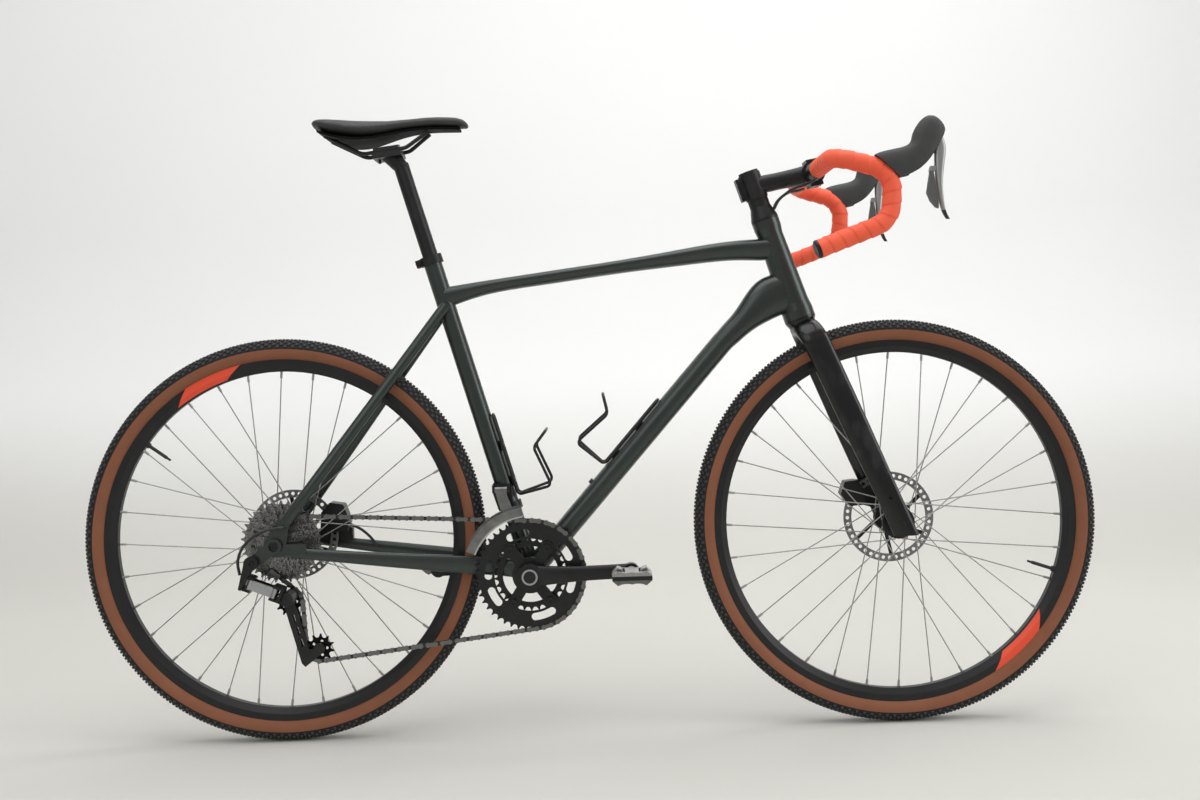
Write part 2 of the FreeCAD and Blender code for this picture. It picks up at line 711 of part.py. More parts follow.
def boss_places():
    """Seats of the bottle bosses: point, along the tube, and outward."""
    along, outward = down_tube_axes()
    places = []
    for step in (0, 1):
        seat = BB + SEAT_UP * (SEAT_BOSS_DISTANCE + BOSS_SPACING * step)
        places.append((seat + SEAT_FORWARD * (SEAT_TUBE_DIAMETER / 2), SEAT_UP, SEAT_FORWARD))
    for step in (0, 1, -1):
        seat = BB + along * (DOWN_BOSS_DISTANCE + BOSS_SPACING * step)
        places.append((seat + outward * (DOWN_TUBE_DEPTH / 2), along, outward))
    return places


def boss_bolts():
    """Bolts of both cages, and the spare one that closes the third boss."""
    bolts = []
    for index, (seat, _, outward) in enumerate(boss_places()):
        lift = SEAT_GAP if index == 4 else CAGE_TAB_THICKNESS + SEAT_GAP
        bolts.append(bolt(seat + outward * lift, outward, BOSS_SHANK))
    return bolts


def boss_holes():
    reach = BOSS_SHANK + RUNNING_FIT
    return [cylinder(seat - outward * reach, seat + outward * reach, BOLT_SHANK / 2 + RUNNING_FIT)
            for seat, _, outward in boss_places()]


def bottle_cage(seat, along, outward):
    """A cage bent from one rod: spine, floor, side arms and front loop."""
    radius = CAGE_ROD_DIAMETER / 2
    arm = BOTTLE_DIAMETER / 2 + radius + 1
    lift = CAGE_TAB_THICKNESS + radius / 2

    def place(s, n, y):
        return seat + along * s + outward * n + LEFT * y

    front = lift + radius + BOTTLE_DIAMETER
    points = [
        place(120, lift, 0),
        place(120, lift, 11),
        place(-26, lift, 11),
        place(-26, front - 14, arm),
        place(46, front - 24, arm),
        place(66, front + radius + 1, arm - 6),
        place(66, front + radius + 1, 0),
    ]
    half = rod(rounded_path(points, (8, 8, 9, 12, 10)), radius)
    tabs = []
    for step in (0, BOSS_SPACING):
        corners = [place(step + s, SEAT_GAP, y) for s, y in ((-9, -12), (9, -12), (9, 12), (-9, 12))]
        face = Part.Face(Part.makePolygon(corners + corners[:1]))
        tabs.append(face.extrude(outward * (CAGE_TAB_THICKNESS + radius / 2 - SEAT_GAP)))
    cage = fused([half, mirrored(half)] + tabs)
    flats = []
    for step in (0, BOSS_SPACING):
        centre = place(step, 0, 0)
        flats.append(cylinder(centre, centre + outward * BOLT_ROOM, BOLT_SHANK / 2 + RUNNING_FIT))
        top = centre + outward * CAGE_TAB_THICKNESS
        flats.append(cylinder(top, centre + outward * BOLT_ROOM, BOLT_HEAD / 2 + SOFT_GAP))
    return cage.cut(flats)


def build_frame():
    head_outer = head_tube_outer()
    head_bore = head_tube_bore()
    top_outer = top_tube_solid(0)
    down_outer = down_tube_solid(0)
    seat_outer, seat_bore = seat_tube_solids()
    shell_outer, shell_bore = shell_solids()
    stays_low = both_sides(chainstay())
    stays_high = both_sides(seatstay())
    plates = both_sides(dropout())
    holes = boss_holes()

    save("head_tube", head_outer.cut(head_bore))
    save("bottom_bracket_shell", shell_outer.cut(shell_bore))
    save("seat_tube", cut_all(seat_outer, [seat_bore, shell_outer] + holes))
    down_trims = [down_tube_solid(TUBE_WALL), head_outer, shell_outer, seat_outer]
    save("down_tube", cut_all(down_outer, down_trims + holes))
    save("top_tube", cut_all(top_outer, [top_tube_solid(TUBE_WALL), head_outer, seat_outer]))
    save("chainstays", *[cut_all(stay, [shell_outer, seat_outer, down_outer] + plates) for stay in stays_low])
    trims = [seat_outer, top_outer] + plates + stays_low
    bridge = cut_all(stay_bridge(), stays_high)
    save("seatstays", *[cut_all(stay, trims) for stay in stays_high], bridge)
    save("rear_dropouts", *plates, derailleur_hanger())


# Fork and headset

def frame_bearings():
    """Headset bearings and crank bearings, seated in the frame."""
    steer = STEERER_DIAMETER / 2 + RUNNING_FIT
    race = CROWN_RACE_DIAMETER / 2 + RUNNING_FIT
    upper_start = HEAD_TOP - HEAD_UP * BEARING_HEIGHT
    upper = cylinder(upper_start, HEAD_TOP, UPPER_BEARING_DIAMETER / 2 - SEAT_GAP)
    lower_end = HEAD_BOTTOM + HEAD_UP * BEARING_HEIGHT
    lower = cylinder(HEAD_BOTTOM, lower_end, LOWER_BEARING_DIAMETER / 2 - SEAT_GAP)
    rings = [upper.cut(cylinder(upper_start, HEAD_TOP, steer)),
             lower.cut(cylinder(HEAD_BOTTOM, lower_end, race))]
    outer_end = SHELL_WIDTH / 2
    cup = cross_ring(BB, outer_end - CUP_WIDTH, outer_end, SHELL_BORE / 2 - SEAT_GAP,
                     SPINDLE_DIAMETER / 2 + RUNNING_FIT)
    return rings + both_sides(cup)


def fork_half():
    """Right half of the crown, bent down into its leg."""
    centre = HEAD_BOTTOM - HEAD_UP * FORK_CROWN_DROP
    leg_top = centre + HEAD_FORWARD * FORK_LEG_LEAD - HEAD_UP * FORK_SHOULDER_DROP
    down = unit(FRONT_AXLE - leg_top)
    ahead = V(-down.z, 0, down.x)
    half_depth = FORK_CROWN_DEPTH / 2
    half_height = FORK_CROWN_HEIGHT / 2
    leg_half = FORK_LEG_THICKNESS / 2
    shoulder_half = leg_half + FORK_SHOULDER_SWELL
    tip_y = FORK_INNER + leg_half - FORK_SEAT_DEPTH
    crown = []
    for step in range(5):
        share = step / 4
        turn = share * pi / 2
        tall = HEAD_UP * cos(turn) - LEFT * sin(turn)
        wide = unit(HEAD_FORWARD * (1 - share) + ahead * share)
        place = centre + HEAD_FORWARD * (FORK_LEG_LEAD * share)
        place += LEFT * (-FORK_SHOULDER_OFFSET * sin(turn)) - HEAD_UP * (FORK_SHOULDER_DROP * (1 - cos(turn)))
        height = half_height + (shoulder_half - half_height) * share
        crown.append(oval(place, wide, tall, half_depth, height, TUBE_SQUARENESS))
    run = (FRONT_AXLE - leg_top).Length
    stations = [
        (0.0, FORK_SHOULDER_OFFSET, half_depth, shoulder_half),
        (0.4, FORK_SHOULDER_OFFSET + (tip_y - FORK_SHOULDER_OFFSET) * 0.45, half_depth - 0.5, leg_half + 2),
        (0.93, tip_y, FORK_LEG_DEPTH / 2, leg_half),
        (1.15, tip_y, FORK_LEG_DEPTH / 2, leg_half),
    ]
    leg = [crown[-1]]
    for share, y, depth, half in eased(stations, LOFT_STEPS)[1:]:
        place = leg_top + down * (run * share) - LEFT * y
        leg.append(oval(place, ahead, LEFT * -1, depth, half, TUBE_SQUARENESS))
    below = Part.makeBox(400, 400, 200, FRONT_AXLE + V(-200, -200, -FORK_TIP_DROP - 200))
    return fused([loft(crown), loft(leg).cut(below)])


def steerer():
    """Tapered steerer with its crown race seat and its bore."""
    race = CROWN_RACE_DIAMETER / 2
    top = STEERER_DIAMETER / 2
    crown = HEAD_BOTTOM_DIAMETER / 2
    length = HEAD_TUBE_LENGTH + SPACER_HEIGHT + STEM_CLAMP_HEIGHT - 2
    bore = top - STEERER_WALL
    outline = [
        (-FORK_CROWN_DROP, bore),
        (-FORK_CROWN_DROP, crown - 6),
        (-SOFT_GAP - 4, crown),
        (-SOFT_GAP, crown),
        (-SOFT_GAP, race),
        (BEARING_HEIGHT + 2, race),
        (70, top),
        (length, top),
        (length, bore),
    ]
    return turned(outline, HEAD_BOTTOM, HEAD_UP)


def fork_eyelets():
    """Threaded blind holes in the outer face of each leg."""
    outer = FORK_INNER + FORK_LEG_THICKNESS
    centre = FRONT_AXLE + V(-19, 0, FORK_EYELET_HEIGHT)
    right = cross_cylinder(centre, -outer - 1, FORK_EYELET_DEPTH - outer, THREAD_HOLE / 2)
    return both_sides(right)


def build_fork():
    half = fork_half()
    fork = fused([half, mirrored(half), steerer()])
    lowest = HEAD_BOTTOM - HEAD_UP * (FORK_CROWN_DROP + FORK_CROWN_HEIGHT)
    bore = cylinder(lowest, HEAD_TOP, STEERER_DIAMETER / 2 - STEERER_WALL)
    axle = across(FRONT_AXLE, FORK_INNER + FORK_LEG_THICKNESS + 10, AXLE_DIAMETER / 2 + RUNNING_FIT)
    seat = across(FRONT_AXLE, FORK_INNER, FORK_LEG_DEPTH / 2 - 3)
    save("fork", cut_all(fork, [bore, axle, seat] + fork_eyelets()))
    save("frame_bearings", *frame_bearings())


# Wheels

def tyre(centre):
    half = TYRE_WIDTH / 2
    bead = RIM_WIDTH / 2 - RIM_WALL - SOFT_GAP
    bulge = (BEAD_RADIUS + WHEEL_RADIUS) / 2
    low = BEAD_RADIUS + SOFT_GAP
    neck = RIM_FLANGE_RADIUS + 1

    def at(y, radius):
        return V(radius, 0, y)

    def half_section(thick):
        shoulder = at(half - 3 - thick, WHEEL_RADIUS - 5.5 - thick * 0.8)
        side_arc = Part.Arc(at(bead - thick, neck), at(half - thick, bulge), shoulder)
        return side_arc, shoulder

    def flipped(point):
        return at(-point.z, point.x)

    outer_arc, outer_shoulder = half_section(0)
    inner_arc, inner_shoulder = half_section(TYRE_CASING)
    outer_crown = Part.Arc(outer_shoulder, at(0, WHEEL_RADIUS), flipped(outer_shoulder))
    inner_crown = Part.Arc(inner_shoulder, at(0, WHEEL_RADIUS - TYRE_CASING), flipped(inner_shoulder))
    right_outer = Part.Arc(at(-bead, neck), at(-half, bulge), flipped(outer_shoulder))
    right_inner = Part.Arc(at(TYRE_CASING - bead, neck), at(TYRE_CASING - half, bulge),
                           flipped(inner_shoulder))
    bead_lines = []
    for sign in (1, -1):
        outline = [at(sign * bead, neck), at(sign * bead, low), at(sign * (bead - TYRE_CASING), low),
                   at(sign * (bead - TYRE_CASING), neck)]
        bead_lines += [Part.LineSegment(outline[k], outline[k + 1]) for k in range(3)]
    curves = [outer_arc, outer_crown, right_outer, inner_arc, inner_crown, right_inner] + bead_lines
    wire = Part.Wire(Part.__sortEdges__([curve.toShape() for curve in curves]))
    return revolved(wire, centre)


def revolved(wire, centre):
    """A closed section, radius along X and place along Z, turned about Y."""
    solid = Part.Face(wire).revolve(V(0, 0, 0), UP, 360)
    solid.Placement = FreeCAD.Placement(centre, FreeCAD.Rotation(UP, LEFT))
    return solid


def around(centre, angle, radius, y=0.0):
    """A point on a wheel, its angle counted up from straight ahead."""
    return centre + V(radius * cos(radians(angle)), y, radius * sin(radians(angle)))


def rim(centre, valve_angle):
    half = RIM_WIDTH / 2
    bed = BEAD_RADIUS
    outline = [
        (half, RIM_FLANGE_RADIUS),
        (half, BEAD_RADIUS - 8),
        (half - 7, RIM_INNER_RADIUS),
        (7 - half, RIM_INNER_RADIUS),
        (-half, BEAD_RADIUS - 8),
        (-half, RIM_FLANGE_RADIUS),
        (RIM_WALL - half, RIM_FLANGE_RADIUS),
        (RIM_WALL - half, bed),
        (6 - half, bed),
        (7 - half, bed - 3),
        (half - 7, bed - 3),
        (half - 6, bed),
        (half - RIM_WALL, bed),
        (half - RIM_WALL, RIM_FLANGE_RADIUS),
    ]
    roof = bed - 3 - RIM_WALL
    void = [
        (half - RIM_WALL, BEAD_RADIUS - 7.5),
        (half - 7.5, RIM_INNER_RADIUS + RIM_WALL),
        (7.5 - half, RIM_INNER_RADIUS + RIM_WALL),
        (RIM_WALL - half, BEAD_RADIUS - 7.5),
        (RIM_WALL - half, roof),
        (half - RIM_WALL, roof),
    ]
    hole = cylinder(around(centre, valve_angle, RIM_INNER_RADIUS - 2), around(centre, valve_angle, bed + 1),
                    VALVE_DIAMETER / 2 + SOFT_GAP)
    return cut_all(turned(outline, centre, LEFT), [turned(void, centre, LEFT), hole])


def inner_tube(centre, valve_angle):
    """The air tube, round in section, with its valve through the rim."""
    middle = WHEEL_RADIUS - TYRE_CASING - TUBE_SECTION_RADIUS - SOFT_GAP
    circle, hollow = [Part.Wire([Part.Circle(V(middle, 0, 0), LEFT, radius).toShape()])
                      for radius in (TUBE_SECTION_RADIUS, TUBE_SECTION_RADIUS - TUBE_SKIN)]
    stem_start = around(centre, valve_angle, middle - TUBE_SECTION_RADIUS / 2)
    stem_end = around(centre, valve_angle, RIM_INNER_RADIUS - VALVE_LENGTH + RIM_WALL)
    stem = cylinder(stem_start, stem_end, VALVE_DIAMETER / 2)
    cap_end = around(centre, valve_angle, RIM_INNER_RADIUS - VALVE_LENGTH - 6)
    cap = cylinder(stem_end, cap_end, VALVE_DIAMETER / 2 - 1)
    nut_start = around(centre, valve_angle, RIM_INNER_RADIUS - SEAT_GAP)
    nut = cylinder(nut_start, around(centre, valve_angle, RIM_INNER_RADIUS - 4), VALVE_DIAMETER / 2 + 2)
    return fused([revolved(circle, centre), stem, cap, nut]).cut(revolved(hollow, centre))


def spokes(centre, left_flange, right_flange):
    """Crossed spokes with their nipples, from the hub flanges to the rim."""
    lead = SPOKE_CROSSINGS * 720 / SPOKE_COUNT
    start_radius = FLANGE_RADIUS + SPOKE_DIAMETER / 2 + RUNNING_FIT
    solids = []
    for index in range(SPOKE_COUNT):
        on_left = index % 2 == 0
        forward = 1 if index // 2 % 2 == 0 else -1
        flange = left_flange if on_left else -right_flange
        rim_angle = 360 * index / SPOKE_COUNT
        hub_side = flange + forward * FLANGE_THICKNESS / 4
        hub = around(centre, rim_angle + forward * lead, start_radius, hub_side)
        end = around(centre, rim_angle, RIM_INNER_RADIUS - SOFT_GAP, copysign(3, flange))
        along = unit(hub - end)
        wire = cylinder(hub, end, SPOKE_DIAMETER / 2)
        nipple = cylinder(end, end + along * NIPPLE_LENGTH, NIPPLE_DIAMETER / 2)
        solids.append(wire.fuse(nipple))
    return solids


def hub(centre, left_flange, right_flange, left_end, right_end):
    """Hub shell with both flanges and the rotor boss, and its bearings."""
    half = FLANGE_THICKNESS / 2
    seat = HUB_AXLE_DIAMETER / 2 + 4.5
    body = HUB_BODY_RADIUS
    boss = ROTOR_BOSS_RADIUS - 4
    rotor_face = left_end - BEARING_HEIGHT
    outline = [
        (-right_end, body + 1),
        (-right_flange - half, body + 1),
        (-right_flange - half, FLANGE_RADIUS),
        (-right_flange + half, FLANGE_RADIUS),
        (-right_flange + half, body + 3),
        (-right_flange + 8, body),
        (left_flange - 8, body),
        (left_flange - half, body + 3),
        (left_flange - half, FLANGE_RADIUS),
        (left_flange + half, FLANGE_RADIUS),
        (left_flange + half, ROTOR_BOSS_RADIUS),
        (rotor_face - ROTOR_THICKNESS, ROTOR_BOSS_RADIUS),
        (rotor_face - ROTOR_THICKNESS, boss),
        (left_end, boss),
        (left_end, seat),
        (left_end - BEARING_HEIGHT, seat),
        (left_end - BEARING_HEIGHT, seat - 2),
        (BEARING_HEIGHT - right_end, seat - 2),
        (BEARING_HEIGHT - right_end, seat),
        (-right_end, seat),
    ]
    race = HUB_AXLE_DIAMETER / 2 + RUNNING_FIT
    left_race = cross_ring(centre, left_end - BEARING_HEIGHT, left_end, seat - SEAT_GAP, race)
    right_race = cross_ring(centre, -right_end, BEARING_HEIGHT - right_end, seat - SEAT_GAP, race)
    return [turned(outline, centre, LEFT), left_race, right_race]


def rotor(centre, plane):
    """Brake rotor: holed track, swept arms, carrier and lock ring."""
    outer = ROTOR_DIAMETER / 2
    inner = outer - ROTOR_TRACK
    y0 = plane - ROTOR_THICKNESS / 2
    y1 = plane + ROTOR_THICKNESS / 2
    boss = ROTOR_BOSS_RADIUS - 4 + SEAT_GAP
    track = cross_ring(centre, y0, y1, outer, inner)
    carrier = cross_ring(centre, y0, y1, ROTOR_BOSS_RADIUS + 6, boss)
    arms = []
    for step in range(6):
        corners = []
        reach = inner + 4
        for angle, radius in ((0, ROTOR_BOSS_RADIUS), (30, reach), (36, reach), (20, ROTOR_BOSS_RADIUS)):
            point = around(centre, 60 * step + angle, radius)
            corners.append((point.x, point.z))
        arms.append(plate(corners, y0, y1))
    holes = []
    for step in range(ROTOR_HOLES):
        place = around(centre, 360 * step / ROTOR_HOLES, inner + ROTOR_TRACK / 2)
        holes.append(cross_cylinder(place, y0 - 1, y1 + 1, ROTOR_HOLE_DIAMETER / 2))
    disc = fused([track, carrier] + arms).cut(holes)
    lock_ring = cross_ring(centre, y1 + SEAT_GAP, y1 + 4, ROTOR_BOSS_RADIUS, boss)
    return [disc, lock_ring]


def thru_axle(centre, half_width, outer, cap_gap):
    """Axle through the dropouts, with the hub's own fixed inner axle."""
    pin = cross_cylinder(centre, -outer, outer, AXLE_DIAMETER / 2)
    head = cross_cylinder(centre, outer, outer + 5, AXLE_HEAD_DIAMETER / 2)
    key = cross_cylinder(centre, outer + 1, outer + 5, 3)
    bore = AXLE_DIAMETER / 2 + SEAT_GAP
    sleeve = cross_ring(centre, -half_width, half_width, HUB_AXLE_DIAMETER / 2, bore)
    caps = [cross_ring(centre, half_width - cap_gap, half_width, HUB_AXLE_DIAMETER / 2 + 3, bore),
            cross_ring(centre, -half_width, cap_gap - half_width, HUB_AXLE_DIAMETER / 2 + 3, bore)]
    return [pin.fuse(head).cut(key), fused([sleeve] + caps)]


def rotor_boss_end(plane):
    return plane + ROTOR_THICKNESS / 2 + BEARING_HEIGHT


def build_wheels():
    wheels = (
        ("rear", REAR_AXLE, REAR_FLANGE_LEFT, REAR_FLANGE_RIGHT, REAR_ROTOR_PLANE, 4, REAR_VALVE_ANGLE),
        ("front", FRONT_AXLE, FRONT_FLANGE_LEFT, FRONT_FLANGE_RIGHT, FRONT_ROTOR_PLANE, 6, FRONT_VALVE_ANGLE),
    )
    for name, centre, left, right, plane, right_lip, valve in wheels:
        save(name + "_tyre", tyre(centre))
        save(name + "_rim", rim(centre, valve))
        save(name + "_inner_tube", inner_tube(centre, valve))
        save(name + "_spokes", *spokes(centre, left, right))
        save(name + "_hub", *hub(centre, left, right, rotor_boss_end(plane), right + right_lip))
        save(name + "_rotor", *rotor(centre, plane))
    rear_outer = DROPOUT_INNER + DROPOUT_THICKNESS
    save("rear_thru_axle", *thru_axle(REAR_AXLE, DROPOUT_INNER, rear_outer, AXLE_CAP))
    save("front_thru_axle", *thru_axle(FRONT_AXLE, FORK_INNER, FORK_INNER + FORK_LEG_THICKNESS, AXLE_CAP))


# Chain and its wheels

def pitch_radius(teeth):
    return CHAIN_PITCH / (2 * sin(pi / teeth))


def chain_wheels():
    """Wheels in running order: centre, teeth, and turning direction."""
    return (
        (BB, BIG_RING_TEETH, 1),
        (REAR_AXLE, COG_TEETH[COG_IN_USE], 1),
        (from_rear_axle(GUIDE_PULLEY), PULLEY_TEETH, -1),
        (from_rear_axle(TENSION_PULLEY), PULLEY_TEETH, 1),
    )


def chain_runs():
    """Straight runs between the wheels: heading, start and end."""
    wheels = chain_wheels()
    runs = []
    for index, (centre, teeth, turn) in enumerate(wheels):
        next_centre, next_teeth, next_turn = wheels[(index + 1) % len(wheels)]
        offset = next_centre - centre
        radius = turn * pitch_radius(teeth)
        next_radius = next_turn * pitch_radius(next_teeth)
        lean = asin((next_radius - radius) / hypot(offset.x, offset.z))
        heading = atan2(offset.z, offset.x) - lean
        normal = V(-sin(heading), 0, cos(heading))
        runs.append((heading, centre - normal * radius, next_centre - normal * next_radius))
    return runs


def chain_course():
    """Roller places round the loop, and the angle of a gap on each wheel."""
    wheels = chain_wheels()
    runs = chain_runs()
    wraps = []
    for index, (centre, teeth, turn) in enumerate(wheels):
        swing = turn * (runs[index][0] - runs[index - 1][0]) % (2 * pi)
        wraps.append(swing * teeth / (2 * pi))
    lengths = [(end - start).Length / CHAIN_PITCH for heading, start, end in runs]
    links = 2 * round((sum(wraps) + sum(lengths)) / 2)
    stretch = (links - sum(wraps)) / sum(lengths)
    rollers = []
    gaps = {}
    done = 0.0
    for index in range(len(wheels)):
        heading, start, end = runs[index]
        count = lengths[index] * stretch
        for step in range(ceil(done), ceil(done + count)):
            rollers.append(start + (end - start) * ((step - done) / count))
        done += count
        after = (index + 1) % len(wheels)
        centre, teeth, turn = wheels[after]
        first_angle = heading - turn * pi / 2
        gaps[after] = first_angle + turn * (ceil(done) - done) * 2 * pi / teeth
        for step in range(ceil(done), ceil(done + wraps[after] - 1e-9)):
            angle = first_angle + turn * (step - done) * 2 * pi / teeth
            rollers.append(centre + V(cos(angle), 0, sin(angle)) * pitch_radius(teeth))
        done += wraps[after]
    return rollers[:links], gaps


def sprocket(centre, y, teeth, bore, gap_angle=0.0):
    """A toothed wheel in the chain's plane, one gap at the given angle."""
    step = 2 * pi / teeth
    pitch = pitch_radius(teeth)
    seat = ROLLER_RADIUS + SOFT_GAP
    tip_radius = pitch + 2.4
    tip_half = 0.9 / tip_radius
    edges = []
    corner = None
    first = None
    for index in range(teeth):
        angle = gap_angle + index * step
        outward = V(cos(angle), 0, sin(angle))
        onward = V(-sin(angle), 0, cos(angle))
        middle = centre + outward * pitch

        def seat_point(turn):
            return middle - outward * (seat * cos(turn)) + onward * (seat * sin(turn))

        def tip(turn):
            return centre + V(cos(turn), 0, sin(turn)) * tip_radius

        begin = seat_point(-1.1)
        end = seat_point(1.1)
        if corner is None:
            first = begin
        else:
            edges.append(Part.LineSegment(corner, begin))
        edges.append(Part.Arc(begin, seat_point(0), end))
        rise = tip(angle + step / 2 - tip_half)
        corner = tip(angle + step / 2 + tip_half)
        edges.append(Part.LineSegment(end, rise))
        edges.append(Part.LineSegment(rise, corner))
    edges.append(Part.LineSegment(corner, first))
    face = Part.Face(Part.Wire([edge.toShape() for edge in edges]))
    disc = face.extrude(LEFT * SPROCKET_THICKNESS)
    disc.translate(LEFT * (y - SPROCKET_THICKNESS / 2))
    return disc.cut(cross_cylinder(centre, y - 5, y + 5, bore))


def link_plate(inner_face):
    """A pair of link plates with round ends, either side of the middle."""
    half = CHAIN_PITCH / 2
    origin = V(0, 0, 0)
    ends = [cross_cylinder(origin + V(x, 0, 0), inner_face, inner_face + PLATE_THICKNESS, PLATE_HALF_HEIGHT)
            for x in (-half, half)]
    waist = PLATE_HALF_HEIGHT - 1
    bar = plate([(-half, -waist), (half, -waist), (half, waist), (-half, waist)],
                inner_face, inner_face + PLATE_THICKNESS)
    return both_sides(fused(ends + [bar]))


def link_shapes():
    """One inner and one outer link, centred and lying along X."""
    pin = ROLLER_RADIUS / 2
    ends = [V(x * CHAIN_PITCH / 2, 0, 0) for x in (-1, 1)]
    wide = INNER_PLATE_OFFSET + PLATE_THICKNESS
    rollers = [across(end, INNER_PLATE_OFFSET, ROLLER_RADIUS) for end in ends]
    bores = [across(end, wide, pin + RUNNING_FIT) for end in ends]
    inner = fused(link_plate(INNER_PLATE_OFFSET) + rollers).cut(bores)
    outer_face = wide + RUNNING_FIT
    pins = [across(end, outer_face + PLATE_THICKNESS + RUNNING_FIT, pin) for end in ends]
    return inner, fused(link_plate(outer_face) + pins)


def build_chain(rollers):
    shapes = link_shapes()
    links = []
    for index, roller in enumerate(rollers):
        following = rollers[(index + 1) % len(rollers)]
        along = following - roller
        angle = atan2(along.z, along.x) * 180 / pi
        place = (roller + following) * 0.5 - LEFT * CHAIN_OFFSET
        link = shapes[index % 2].copy()
        link.Placement = FreeCAD.Placement(place, FreeCAD.Rotation(LEFT * -1, angle))
        links.append(link)
    save("chain", *links)


def cog_place(index):
    return -CHAIN_OFFSET - (COG_IN_USE - index) * COG_SPACING


def build_cassette(gap_angle):
    solids = []
    for index, teeth in enumerate(COG_TEETH):
        phase = gap_angle if index == COG_IN_USE else 0.0
        solids.append(sprocket(REAR_AXLE, cog_place(index), teeth, FREEHUB_RADIUS + SEAT_GAP, phase))
        if index:
            face = cog_place(index) - SPROCKET_THICKNESS / 2 - SEAT_GAP
            start = cog_place(index - 1) + SPROCKET_THICKNESS / 2 + SEAT_GAP
            solids.append(cross_ring(REAR_AXLE, start, face, FREEHUB_RADIUS + 3, FREEHUB_RADIUS + SEAT_GAP))
    outer = cog_place(0) - SPROCKET_THICKNESS / 2
    inner = -REAR_FLANGE_RIGHT - 4 - SOFT_GAP
    race = HUB_AXLE_DIAMETER / 2 + RUNNING_FIT
    solids.append(cross_ring(REAR_AXLE, outer, inner, FREEHUB_RADIUS, race))
    stop = cog_place(len(COG_TEETH) - 1) + SPROCKET_THICKNESS / 2 + SEAT_GAP
    solids.append(cross_ring(REAR_AXLE, stop, inner, FREEHUB_RADIUS + 4, FREEHUB_RADIUS + SEAT_GAP))
    solids.append(cross_ring(REAR_AXLE, outer - 1.2, outer - SEAT_GAP, FREEHUB_RADIUS - 1, race + 1))
    save("cassette", *solids)


# Cranks and pedals

def crank_direction(sign):
    angle = radians(CRANK_RISE_ANGLE)
    return V(cos(angle), 0, sin(angle)) * sign


def crank_arm(sign, side_sign):
    """One crank arm with its boss, pedal eye and bores."""
    along = crank_direction(sign)
    upward = V(-along.z, 0, along.x)
    eye = BB + along * CRANK_LENGTH
    half = CRANK_ARM_THICKNESS / 2
    tip = ARM_TIP_OUTER - half
    root = tip - 7
    depth = CRANK_ARM_DEPTH / 2
    sections = []
    stations = (
        (0.0, root, depth + 6),
        (0.22, root, depth + 2),
        (0.6, (root + tip) / 2, depth - 1),
        (1.0, tip, depth - 1),
    )
    for share, y, tall in stations:
        centre = BB + along * (CRANK_LENGTH * share) + LEFT * (side_sign * y)
        sections.append(oval(centre, upward, LEFT, tall, half, 2.8))
    boss = cross_cylinder(BB, side_sign * ARM_ROOT_INNER, side_sign * (root + half), CRANK_BOSS_RADIUS)
    end = cross_cylinder(eye, side_sign * (tip - half), side_sign * (tip + half), depth)
    solid = fused([loft(sections), boss, end])
    spindle_hole = across(BB, root + half - CRANK_CAP, SPINDLE_DIAMETER / 2 + SEAT_GAP)
    axle_hole = across(eye, 2 * ARM_TIP_OUTER, PEDAL_AXLE_DIAMETER / 2 + SEAT_GAP)
    return solid.cut([spindle_hole, axle_hole])


def spider():
    """Four arms that carry both chainrings, on the inner face of the arm."""
    inner = -RING_FACE - SEAT_GAP
    outer = inner - SPIDER_THICKNESS
    pieces = [cross_cylinder(BB, inner, outer, CRANK_BOSS_RADIUS + 9)]
    reach = RING_BOLT_CIRCLE / 2
    for angle in SPIDER_ANGLES:
        tab = around(BB, CRANK_RISE_ANGLE + angle, reach)
        pieces.append(cross_cylinder(tab, inner, outer, SPIDER_TAB_RADIUS))
        corners = []
        for turn, radius in ((-26, CRANK_BOSS_RADIUS), (-10, reach), (10, reach), (26, CRANK_BOSS_RADIUS)):
            point = around(BB, CRANK_RISE_ANGLE + angle + turn, radius)
            corners.append((point.x, point.z))
        pieces.append(plate(corners, inner, outer))
    bolt_room = RING_BOLT_DIAMETER / 2 + RUNNING_FIT
    holes = [cross_cylinder(around(BB, CRANK_RISE_ANGLE + angle, reach), 0, -100, bolt_room)
             for angle in SPIDER_ANGLES]
    holes.append(across(BB, 100, SPINDLE_DIAMETER / 2 + SEAT_GAP))
    return fused(pieces).cut(holes)


def pedal_axle(sign, side_sign):
    """Pedal axle: its thread in the arm, a collar, and the bearing end."""
    eye = BB + crank_direction(sign) * CRANK_LENGTH
    inner = ARM_TIP_OUTER - CRANK_ARM_THICKNESS
    thread = cross_cylinder(eye, side_sign * inner, side_sign * (ARM_TIP_OUTER + 4), PEDAL_AXLE_DIAMETER / 2)
    collar = cross_cylinder(eye, side_sign * (ARM_TIP_OUTER + SEAT_GAP), side_sign * (ARM_TIP_OUTER + 4),
                            PEDAL_AXLE_DIAMETER / 2 + 2)
    end = cross_cylinder(eye, side_sign * ARM_TIP_OUTER, side_sign * (ARM_TIP_OUTER + PEDAL_WIDTH),
                         PEDAL_AXLE_DIAMETER / 2 - 2)
    return fused([thread, collar, end])


def build_cranks():
    cap = cross_cylinder(BB, -ARM_TIP_OUTER + 7, -ARM_TIP_OUTER + 5, CRANK_BOSS_RADIUS - 7)
    right = fused([crank_arm(1, -1), spider(), cap])
    save("right_crank", right, pedal_axle(1, -1))
    end = ARM_TIP_OUTER - 7 - CRANK_CAP - SEAT_GAP
    spindle = across(BB, end, SPINDLE_DIAMETER / 2).cut(across(BB, end, SPINDLE_DIAMETER / 2 - 4))
    save("left_crank", crank_arm(-1, 1), spindle, pedal_axle(-1, 1))


